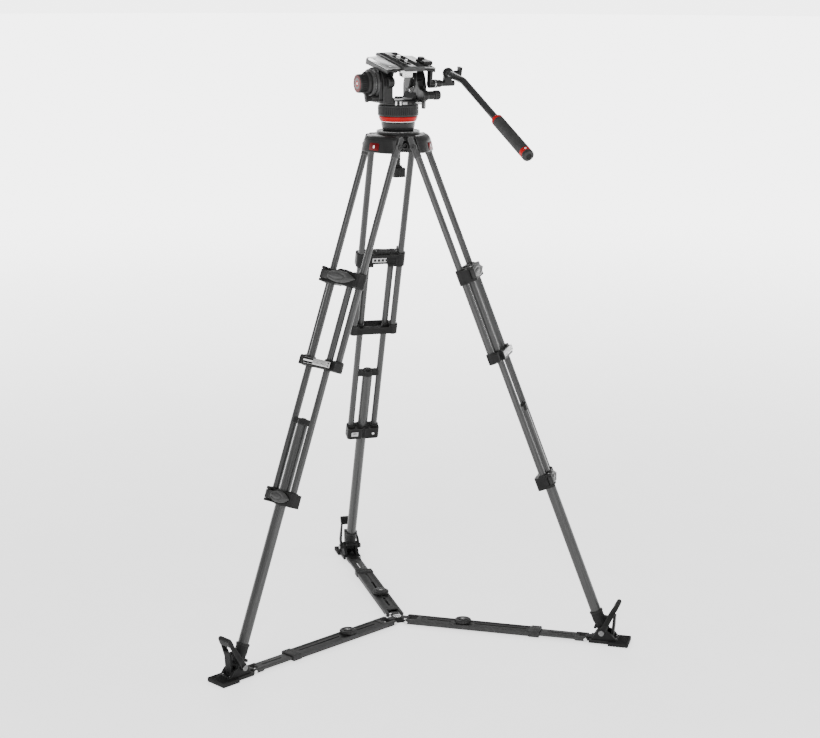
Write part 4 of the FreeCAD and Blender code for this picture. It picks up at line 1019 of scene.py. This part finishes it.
def make_yoke():
    body = "head_yoke"
    add("yoke_body", yoke_shape(), body, "gloss", ROW, ["head_yoke"])
    add("left_cover", ring_disc([(0, -58.0), (31.0, -59.6), (33.6, -60.4), (34.0, -62.4), (33.4, -65.0),
                                 (31.2, -65.8),
                                 (29.6, -66.2), (29.4, -67.4), (30.7, -68.0), (31.0, -71.6), (29.8, -73.6),
                                 (26.5, -74.4), (0, -74.5)]), body, "gloss")
    add("left_bead", ring_disc([(29.4, -66.2), (30.4, -66.4), (30.6, -66.9), (30.2, -67.3), (29.4, -67.3)]),
        body, "edge")
    add("right_cover", ring_disc([(0, 50.0), (30.0, 50.0), (30.0, 51.6), (28.5, 52.0), (22.0, 52.0),
                                  (20.8, 51.4),
                                  (0, 51.4)]), body, "gloss")
    screw = screw_head(2.2, 1.2)
    for side in (-1, 1):
        tag = "lr"[side > 0]
        near, far = side * 29.2, side * 31.2
        add(f"cartridge_{tag}", ring_disc([(9.3, near), (23.6, near), (23.6, far), (9.3, far)]), body,
            "plastic")
        for k in range(6):
            angle = math.radians(60 * k + 30)
            at = (side * 29.0, 18.5 * math.cos(angle), TILT_Z + 18.5 * math.sin(angle))
            add(f"cartridge_screw_{tag}{k}", screw, body, "steel", facing((-side, 0, 0), at))
    oval = [(7.0 * p, 4.6 * q) for p, q in circle(1.0, 36)]
    place = facing((-0.35, -0.55, 0.76), (-64.0, -16.0, TILT_Z + 27.6))
    add("drag_window", bevelled(prism(oval, "z", -2.5, 0.7), 0.3), body, "window", place)
    rim = prism([(p * 1.2, q * 1.3) for p, q in oval], "z", -2.5, 0.9)
    opening = prism([(p * 0.98, q * 0.98) for p, q in oval], "z", -3.0, 1.5)
    add("drag_window_rim", bevelled(carved(rim, [opening]), 0.2), body, "edge", place)
    mark = bevelled(block((41.0, 42.4), (-1.8, 1.8), (1204.2, 1212.4)), 0.2)
    for k, azimuth in enumerate((-122.8, -109.5)):
        add(f"base_mark_{k}", turned(mark, azimuth), body, "white")
    # Painted reflection: a small metallic patch on the rear of the base disc, standing in for a bright
    # reflection on the glossy base.
    add("base_painted_reflection", bevelled(turned(block((40.6, 42.2), (-5.5, 5.5), (1205.0, 1211.8)), -96.0), 0.3),
        body, "edge")
    vial_at = (12.0, 22.0)
    add("vial_rim", lathe([(6.6, 1214.0), (9.2, 1214.0), (9.2, 1217.6), (8.4, 1218.4), (6.6, 1218.0)], "z",
                          vial_at),
        body, "plastic")
    add("vial", lathe([(0, 1214.5), (6.5, 1214.5), (6.5, 1217.2), (4.0, 1218.0), (0, 1218.3)], "z",
                      vial_at), body, "vial")
    add("drag_spindle", rod(5.0, (-90.0, -70.0), "x", (0.0, TILT_Z), edge=0.4), body, "steel")
    add("lock_spindle", rod(3.5, (-83.8, -62.0), "x", LOCK, edge=0.4), body, "steel")
    add("dial_spindle", rod(4.0, (50.0, 67.8), "x", DIAL, edge=0.4), body, "steel")
    azimuth, z = PAN_LOCK
    spindle = joined([rod(3.6, (38.0, 55.8), "x", (0.0, z), edge=0.3),
                      rod(3.0, (50.0, 59.4), "x", (0.0, z), edge=0.3)])
    add("pan_spindle", turned(spindle, azimuth), body, "steel")


def make_controls():
    knob = ring_disc([(5.06, -75.4), (24.4, -75.4), (25.6, -76.4), (25.9, -78.6), (25.4, -81.0),
                      (23.6, -82.0),
                      (21.2, -83.0), (21.0, -85.0), (20.4, -97.2), (19.8, -99.2), (18.8, -99.6), (0, -99.6),
                      (0, -91.2), (5.06, -91.2)], 144)
    flute = lathe([(0, -96.6), (1.3, -95.8), (1.6, -94.0), (1.6, -87.0), (1.3, -84.6), (0, -84.0)], "x",
                  (21.7, TILT_Z), 14)
    add("drag_knob", carved(knob, ring_of(flute, 30, "X", (0, 0, TILT_Z))), "tilt_drag_knob", "plastic", ROW,
        ["tilt_drag_knob"])
    rings = (("face", 18.6, 12.4, "deep_red"), ("ring", 12.2, 7.0, "dark"), ("centre", 6.8, 3.2, "red"),
             ("dot", 3.0, 0.0, "white"))
    for name, outer, inner, material in rings:
        disc = [(outer, -99.2), (outer, -99.8), (inner, -100.0), (inner, -99.2)]
        add(f"drag_knob_{name}", ring_disc(disc), "tilt_drag_knob", material)
    y, z = LOCK
    lock = cast([rod(6.0, (-84.0, -75.6), "x", LOCK, edge=0.6),
                 capsule((y, z + 6.5), (y - 3.0, z - 2.5), 5.4, "x", -89.8, -83.2)],
                [rod(3.56, (-84.6, -60.0), "x", LOCK, edge=0.05)], 0.6, 3)
    add("tilt_lock", lock, "tilt_lock_lever", "plastic", ROW, ["tilt_lock_lever"])
    azimuth, z = PAN_LOCK
    paddle = cast([capsule((0.0, z), (0.0, z - 7.5), 5.4, "x", 55.4, 62.4)],
                  [rod(3.06, (55.0, 60.1), "x", (0.0, z), edge=0.05)], 0.5, 3)
    add("pan_lock", turned(paddle, azimuth), "pan_lock_lever", "lever", ROW, ["pan_lock_lever"])
    dial = lathe([(4.06, 58.4), (9.8, 58.4), (10.5, 59.2), (10.5, 69.6), (9.6, 71.4), (8.0, 72.0),
                  (7.4, 71.2),
                  (0, 71.2), (0, 68.6), (4.06, 68.6)], "x", DIAL, 96)
    groove = rod(1.0, (60.5, 69.5), "x", (DIAL[0] + 11.0, DIAL[1]), edge=0.6, steps=12)
    add("balance_dial", carved(dial, ring_of(groove, 18, "X", (0, *DIAL))), "counterbalance_dial",
        "plastic", ROW, ["counterbalance_dial"])
    add("balance_pointer", bevelled(block((71.0, 71.8), (DIAL[0] - 0.7, DIAL[0] + 0.7),
                                          (DIAL[1] + 1, DIAL[1] + 6.6)),
                                    0.2), "counterbalance_dial", "white")


# ---------------------------------------------------------------- tilting platform, in the head frame
ROSETTE = (-40.0, 4.5)
PLATE_HALF = 25.6
LATCH = (44.0, -14.0)


def cradle_shape():
    parts = [prism([(-58.4, 37.0), (58.4, 37.0), (58.4, 43.0), (54, 44.6), (26.4, 45.0), (26.4, 40.0),
                    (-26.4, 40.0),
                    (-26.4, 45.0), (-54, 44.6), (-58.4, 43.0)], "y", -57.5, 49.5)]
    for side in (-1, 1):
        low, high = on_side(side, 21.7, 28.0)
        parts.append(prism([(-13, 0), (13, 0), (24, 38), (-24, 38)], "x", low, high))
        parts.append(rod(13.8, (low, high), "x", (0.0, 0.0), edge=1.2))
        low, high = on_side(side, 55.6, 58.8)
        parts.append(prism([(-57.6, 33.6), (49.6, 30.4), (49.6, 42), (-57.6, 42)], "x", low, high))
        for k in range(3):
            low, high = on_side(side, 28.0, 56.0)
            parts.append(block((low, high), (-40 + 36 * k, -37.6 + 36 * k), (34.4, 38)))
    y, z = ROSETTE
    parts.append(prism([(-47.6, 38), (-27.4, 38), (y + 8.3, z), (y - 8.3, z)], "x", 53.2, 58.8))
    parts.append(rod(9.5, (53.2, 67.6), "x", ROSETTE, edge=0.8))
    cuts = [rod(3.46, (-60.0, -40.0), "y", (-42.0, 41.2), edge=0.05),
            rod(3.06, (39.0, 50.0), "z", LATCH, edge=0.05)]
    return cast(parts, cuts, 0.9, 3)


def wing_shape(side):
    """Silver deck beside the plate's channel, with a chamfered outer edge."""
    outline = [(side * 26.2, 44.4), (side * 59.0, 42.4), (side * 59.0, 43.4), (side * 54.2, 46.0),
               (side * 28.0, 47.5),
               (side * 26.2, 46.6)]
    cuts = [rod(3.2, (38.0, 52.0), "z", LATCH, edge=0.1)] if side > 0 else [
        block((-62.0, -56.5), (40.0, 56.0), (40.0, 50.0))]
    return bevelled(carved(prism(outline, "y", -58.0, 50.0), cuts), 0.5, 2)


def tooth_ring(x, sense):
    """Face teeth of a rosette, standing along X about the rosette's axis."""
    tooth = prism([(5.6, -0.35), (9.2, -0.55), (9.2, 0.55), (5.6, 0.35)], "x", x, x + sense * 0.5)
    return joined([moved(t, 0, *ROSETTE) for t in ring_of(tooth, 36, "X")])


def make_platform():
    body = "tilt_platform"
    nodes = ["tilt_platform"]
    add("cradle", cradle_shape(), body, "gloss", HEAD, nodes)
    for side in (-1, 1):
        tag = "lr"[side > 0]
        add(f"deck_{tag}", wing_shape(side), body, "silver", HEAD, nodes)
        edge = [(side * 54.0, 45.6), (side * 59.0, 43.2), (side * 58.9, 43.9), (side * 54.4, 46.3)]
        add(f"deck_edge_{tag}", bevelled(prism(edge, "y", -57.6, 39.6 if side < 0 else 49.6), 0.12), body,
            "bright", HEAD)
        low, high = on_side(side, 27.0, 48.8)
        add(f"axle_{tag}", rod(9.0, (low, high), "x", (0.0, 0.0), edge=0.6), body, "steel", HEAD, nodes)
        for k, y in enumerate((-48.0, 30.0)):
            add(f"deck_screw_{tag}{k}", screw_head(2.6, 0.9), body, "steel",
                HEAD @ facing((side * 0.057, 0, 1), (side * 47.0, y, 46.2)))
    latch = [(-57.2, 24.4), (-40, 24.4), (-38.2, 28), (-38.2, 39), (-54, 39), (-57.6, 36)]
    add("latch_block", bevelled(carved(prism(latch, "x", -20.0, 4.0),
                                       [block((-16.0, 0.0), (-60.0, -55.6), (27.5, 34.0))]),
                                0.9, 3), body, "bright", HEAD, nodes)
    catch = prism([(-58.0, 40.2), (-46.0, 40.2), (-46.0, 36.2), (-57.0, 34.4)], "x", -25.8, 14.0)
    add("latch_bar", bevelled(catch, 0.8, 3), body, "bright", HEAD)
    add("bar_rosette", joined([tooth_ring(67.6, 1),
                               lathe([(4.2, 67.0), (9.4, 67.0), (9.4, 67.8), (4.2, 67.8)], "x",
                                                          ROSETTE, 72)]), body, "bright", HEAD)
    add("bar_spindle", rod(4.0, (62.0, 115.8), "x", ROSETTE, edge=0.4), body, "steel", HEAD, nodes)


def make_plate():
    body = "camera_plate"
    outline = [(-20, 40.7), (20, 40.7), (PLATE_HALF, 44.2), (PLATE_HALF, 47.8), (23.8, 50.4), (-23.8, 50.4),
               (-PLATE_HALF, 47.8), (-PLATE_HALF, 44.2)]
    slots = [capsule((0.0, -44.0), (0.0, 30.0), 5.4, "z", 38.0, 54.0),
             capsule((0.0, -44.0), (0.0, 30.0), 10.5, "z", 38.0, 44.2)]
    add("plate_body", bevelled(carved(prism(outline, "y", -70.8, 69.8), slots), 0.6, 2), body, "gloss", HEAD,
        ["camera_plate"])
    for side in (-1, 1):
        low, high = on_side(side, 8.0, 22.4)
        strips = [bevelled(block((low, high), (-66.0 + 3.0 * k, -64.4 + 3.0 * k), (49.8, 51.0)), 0.3)
                  for k in range(44)]
        strips.append(block((low, high), (-66.4, 66.4), (49.4, 50.5)))
        add(f"plate_rubber_{'lr'[side > 0]}", joined(strips), body, "rubber", HEAD, ["camera_plate"])
    for name, y, radius in (("large", 8.0, 4.76), ("small", -29.0, 3.175)):
        thread = [(0.0, 41.2), (9.0, 41.2), (9.0, 43.4), (radius - 0.8, 43.6), (radius - 0.8, 51.4)]
        thread += [(radius - 0.55 * (k % 2), 51.6 + 0.6 * k) for k in range(10)]
        thread += [(radius - 0.9, 57.5), (0.0, 57.5)]
        add(f"camera_screw_{name}", lathe(thread, "z", (0.0, y), 40), body, "bright", HEAD,
            ["camera_screws"])
    blade = [(33.2, -49.8), (53.8, -49.8), (57.8, -43.8), (57.8, -8.2), (42, -4.2), (33.2, -10)]
    hump = [(33.2, -49.8), (53.8, -49.8), (56, -42), (54, -34), (36, -32), (33.2, -40)]
    lever = cast([prism(blade, "z", 48.1, 53.4), prism(hump, "z", 50.0, 56.3),
                  rod(8.0, (48.0, 58.4), "z", LATCH, edge=1.8)], (), 0.6, 5)
    add("plate_lock", joined([lever, rod(3.0, (40.2, 49.0), "z", LATCH, edge=0.3)]), "plate_lock_lever",
        "plastic", HEAD, ["plate_lock_lever"])
    at = (-42.0, 41.2)
    button = joined([rod(3.4, (-62.4, -44.6), "y", at, edge=0.3, steps=32),
                     rod(4.6, (-65.0, -62.0), "y", at, edge=0.8, steps=40)])
    add("release_button", button, "plate_release_button", "plastic", HEAD, ["plate_release_button"])


# ---------------------------------------------------------------- pan bar, in the head frame
BAR_X = 100.0
BAR_Z = 27.0
BAR_R = 7.6
BEND_Y = -110.0
BEND_R = 45.0
DROP = math.radians(15.5)
GRIP_FROM = 163.0
GRIP_LONG = 151.0


def bar_point(distance):
    """A place on the bar's second straight run, measured from the bend's corner."""
    return Vector((BAR_X, BEND_Y - distance * math.cos(DROP), BAR_Z - distance * math.sin(DROP)))


def bar_mesh():
    """The tube swept along its first run, its bend and its second run."""
    setback = BEND_R * math.tan(DROP / 2)
    centre = Vector((BAR_X, BEND_Y + setback, BAR_Z - BEND_R))
    path = [(Vector((BAR_X, -31.2, BAR_Z)), 0.0)]
    path += [(centre + BEND_R * Vector((0, -math.sin(DROP * k / 8), math.cos(DROP * k / 8))), DROP * k / 8)
             for k in range(9)]
    path.append((bar_point(GRIP_FROM + GRIP_LONG - 12.2), DROP))
    bm = bmesh.new()
    rings = []
    for spot, angle in path:
        up = Vector((0, -math.sin(angle), math.cos(angle)))
        rings.append([bm.verts.new(spot + Vector((p, 0, 0)) + q * up) for p, q in circle(BAR_R, 48)])
    return skinned(bm, rings)


def grip_profile():
    """Outline of the grip along its own axis: shallow ribs between two collars' seats."""
    profile = [(BAR_R + 0.02, 9.0), (12.2, 9.0)]
    ribs = 36
    pitch = (GRIP_LONG - 32.0) / ribs
    for k in range(ribs):
        at = 12.0 + pitch * k
        profile += [(12.55, at), (12.95, at + 0.3 * pitch), (12.95, at + 0.65 * pitch),
                    (12.55, at + 0.95 * pitch)]
    return profile + [(12.4, GRIP_LONG - 19.0), (BAR_R + 0.02, GRIP_LONG - 19.0)]


def make_bar():
    body = "pan_bar"
    add("bar_tube", bar_mesh(), body, "bar", HEAD, ["panbar_tube"], sharp=50)
    along = HEAD @ facing(tuple(bar_point(1) - bar_point(0)), bar_point(GRIP_FROM))
    grips = ["panbar_grip"]
    add("grip_sleeve", lathe(grip_profile(), steps=96), body, "grip", along, grips, sharp=60)
    add("grip_collar_front", lathe([(BAR_R + 0.02, 0.4), (9.8, 0.2), (11.6, 1.4), (12.7, 3.6), (12.9, 6.0),
                                    (12.9, 9.0),
                                    (12.5, 10.0), (BAR_R + 0.02, 10.0)], steps=72), body, "red", along, grips)
    end = GRIP_LONG
    add("grip_collar_rear", lathe([(BAR_R + 0.02, end - 19.4), (12.9, end - 19.2), (12.98, end - 18.2),
                                   (12.98, end - 9.6), (12.4, end - 9.0), (BAR_R + 0.02, end - 9.0)],
                                   steps=72),
        body, "red", along, grips)
    add("grip_cap", lathe([(BAR_R + 0.02, end - 9.2), (12.6, end - 9.2), (12.9, end - 8.0), (12.9, end - 3.6),
                           (12.0, end - 1.2), (9.8, end - 0.2), (6.0, end - 0.2), (5.2, end - 1.4),
                           (0, end - 1.4),
                           (0, end - 10.0)], steps=72), body, "plastic", along, grips)
    add("grip_dot", bevelled(rod(2.3, (12.4, 13.2), "z", (0, 0), edge=0.2, steps=28), 0.1), body, "white",
        along @ Matrix.Translation(Vector((0, 0, end - 14.0)) * MM) @ facing((-0.35, 0.94, 0.0), (0, 0, 0)))
    y, z = ROSETTE
    block_x = bevelled(block((91.0, 109.0), (-46.8, -32.2), (z, BAR_Z)), 2.6, 3)
    sphere = lathe([(0, BAR_Z - 12.4)] + dome(12.4, BAR_Z, 9.0, 9.0, 19) + [(0, BAR_Z + 12.4)], "z",
                   (BAR_X, y), 72)
    clamp = cast([rod(6.5, (68.8, 116.8), "x", ROSETTE, edge=1.2),
                  rod(9.5, (68.8, 73.0), "x", ROSETTE, edge=0.6),
                  rod(8.2, (75.0, 84.0), "x", ROSETTE, edge=1.4), block_x, sphere],
                 [rod(BAR_R, (-70.0, -20.0), "y", (BAR_X, BAR_Z), edge=0.1),
                  block((BAR_X + 6.0, 120.0), (-60.0, -20.0), (BAR_Z - 0.8, BAR_Z + 0.8))], 0.7, 3)
    add("bar_clamp", clamp, body, "gloss", HEAD, ["panbar_clamp"])
    add("clamp_rosette", tooth_ring(68.8, -1), body, "steel", HEAD)
    wing_y = y - 4.0
    add("clamp_stud", rod(3.0, (108.0, 119.6), "x", (wing_y, BAR_Z), edge=0.3), body, "steel", HEAD,
        ["panbar_clamp"])
    wing = cast([rod(6.5, (113.2, 124.0), "x", (wing_y, BAR_Z), edge=0.8),
                 prism([(wing_y - 4.8, BAR_Z - 9.8), (wing_y + 4.8, BAR_Z - 9.8),
                        (wing_y + 6.4, BAR_Z + 14.0),
                        (wing_y - 6.4, BAR_Z + 14.0)], "x", 122.4, 129.8)], (), 0.6, 4)
    add("bar_knob", wing, "panbar_knob", "plastic", HEAD, ["panbar_knob"])


# ---------------------------------------------------------------- stage, light and camera
GLOW = (1.4, 4.5)       # light given off by the floor, near and far
SKY = (4.5, 0.7)        # studio walls at the horizon and overhead
LIT_AT = Vector((0, 0, 0.75))


def make_stage():
    """A wide pale floor that brightens away from the object, like a lit studio sweep."""
    bm = bmesh.new()
    bmesh.ops.create_circle(bm, cap_ends=True, segments=96, radius=40.0)
    mesh = bpy.data.meshes.new("floor")
    bm.to_mesh(mesh)
    bm.free()
    n = Nodes("pale_floor")
    n.link(n.ramp(n.noise(6.0, 2.0), [(0.3, grey(0.86)), (0.7, grey(0.9))]), n.shader.inputs["Base Color"])
    far = n.add("ShaderNodeVectorMath", operation="LENGTH")
    n.link(n.spot, far.inputs[0])
    glow = n.add("ShaderNodeMapRange", interpolation_type="SMOOTHSTEP")
    for socket, value in (("From Min", 0.6), ("From Max", 7.0), ("To Min", GLOW[0]), ("To Max", GLOW[1])):
        glow.inputs[socket].default_value = value
    n.link(far.outputs["Value"], glow.inputs["Value"])
    n.link(glow.outputs["Result"], n.shader.inputs["Emission Strength"])
    n.set(Roughness=0.9, Emission_Color=(1, 1, 1, 1))
    mesh.materials.append(n.material)
    floor = bpy.data.objects.new("floor", mesh)
    floor.location = (0, 0, -0.0006)
    bpy.context.scene.collection.objects.link(floor)
    world = bpy.data.worlds.new("studio")
    world.use_nodes = True
    tree = world.node_tree
    heading = tree.nodes.new("ShaderNodeTexCoord")
    split = tree.nodes.new("ShaderNodeSeparateXYZ")
    tree.links.new(heading.outputs["Generated"], split.inputs["Vector"])
    fade = tree.nodes.new("ShaderNodeMapRange")
    fade.interpolation_type = "SMOOTHSTEP"
    for socket, value in (("From Min", 0.03), ("From Max", 0.12), ("To Min", SKY[0]), ("To Max", SKY[1])):
        fade.inputs[socket].default_value = value
    tree.links.new(split.outputs["Z"], fade.inputs["Value"])
    tree.links.new(fade.outputs["Result"], tree.nodes["Background"].inputs["Strength"])
    tree.nodes["Background"].inputs["Color"].default_value = (1, 1, 1, 1)
    bpy.context.scene.world = world


def softbox(name, at, size, power):
    light = bpy.data.lights.new(name, "AREA")
    light.shape = "RECTANGLE"
    light.size, light.size_y = size
    light.energy = power
    box = bpy.data.objects.new(name, light)
    box.location = at
    box.rotation_mode = "QUATERNION"
    box.rotation_quaternion = (LIT_AT - Vector(at)).to_track_quat("-Z", "Y")
    bpy.context.scene.collection.objects.link(box)


def make_camera():
    camera = bpy.data.cameras.new("camera")
    camera.lens = 80.9
    camera.sensor_width = 36.0
    camera.clip_end = 90.0
    holder = bpy.data.objects.new("camera", camera)
    spot = Vector((-1.830, -3.641, 1.542))
    target = Vector((0.0249, -0.0127, 0.6065))
    holder.rotation_mode = "QUATERNION"
    roll = Matrix.Rotation(math.radians(0.2), 4, "Z").to_quaternion()
    holder.rotation_quaternion = (target - spot).to_track_quat("-Z", "Y") @ roll
    holder.location = spot
    bpy.context.scene.collection.objects.link(holder)
    bpy.context.scene.camera = holder


make_all_legs()
make_crown()
make_base()
make_yoke()
make_controls()
make_platform()
make_plate()
make_bar()
make_stage()
softbox("key", (-2.6, -2.4, 3.2), (1.6, 1.6), 60)
softbox("fill", (2.8, -2.2, 2.0), (1.2, 2.4), 30)
softbox("rim", (1.0, 3.2, 2.6), (2.0, 1.2), 50)
make_camera()
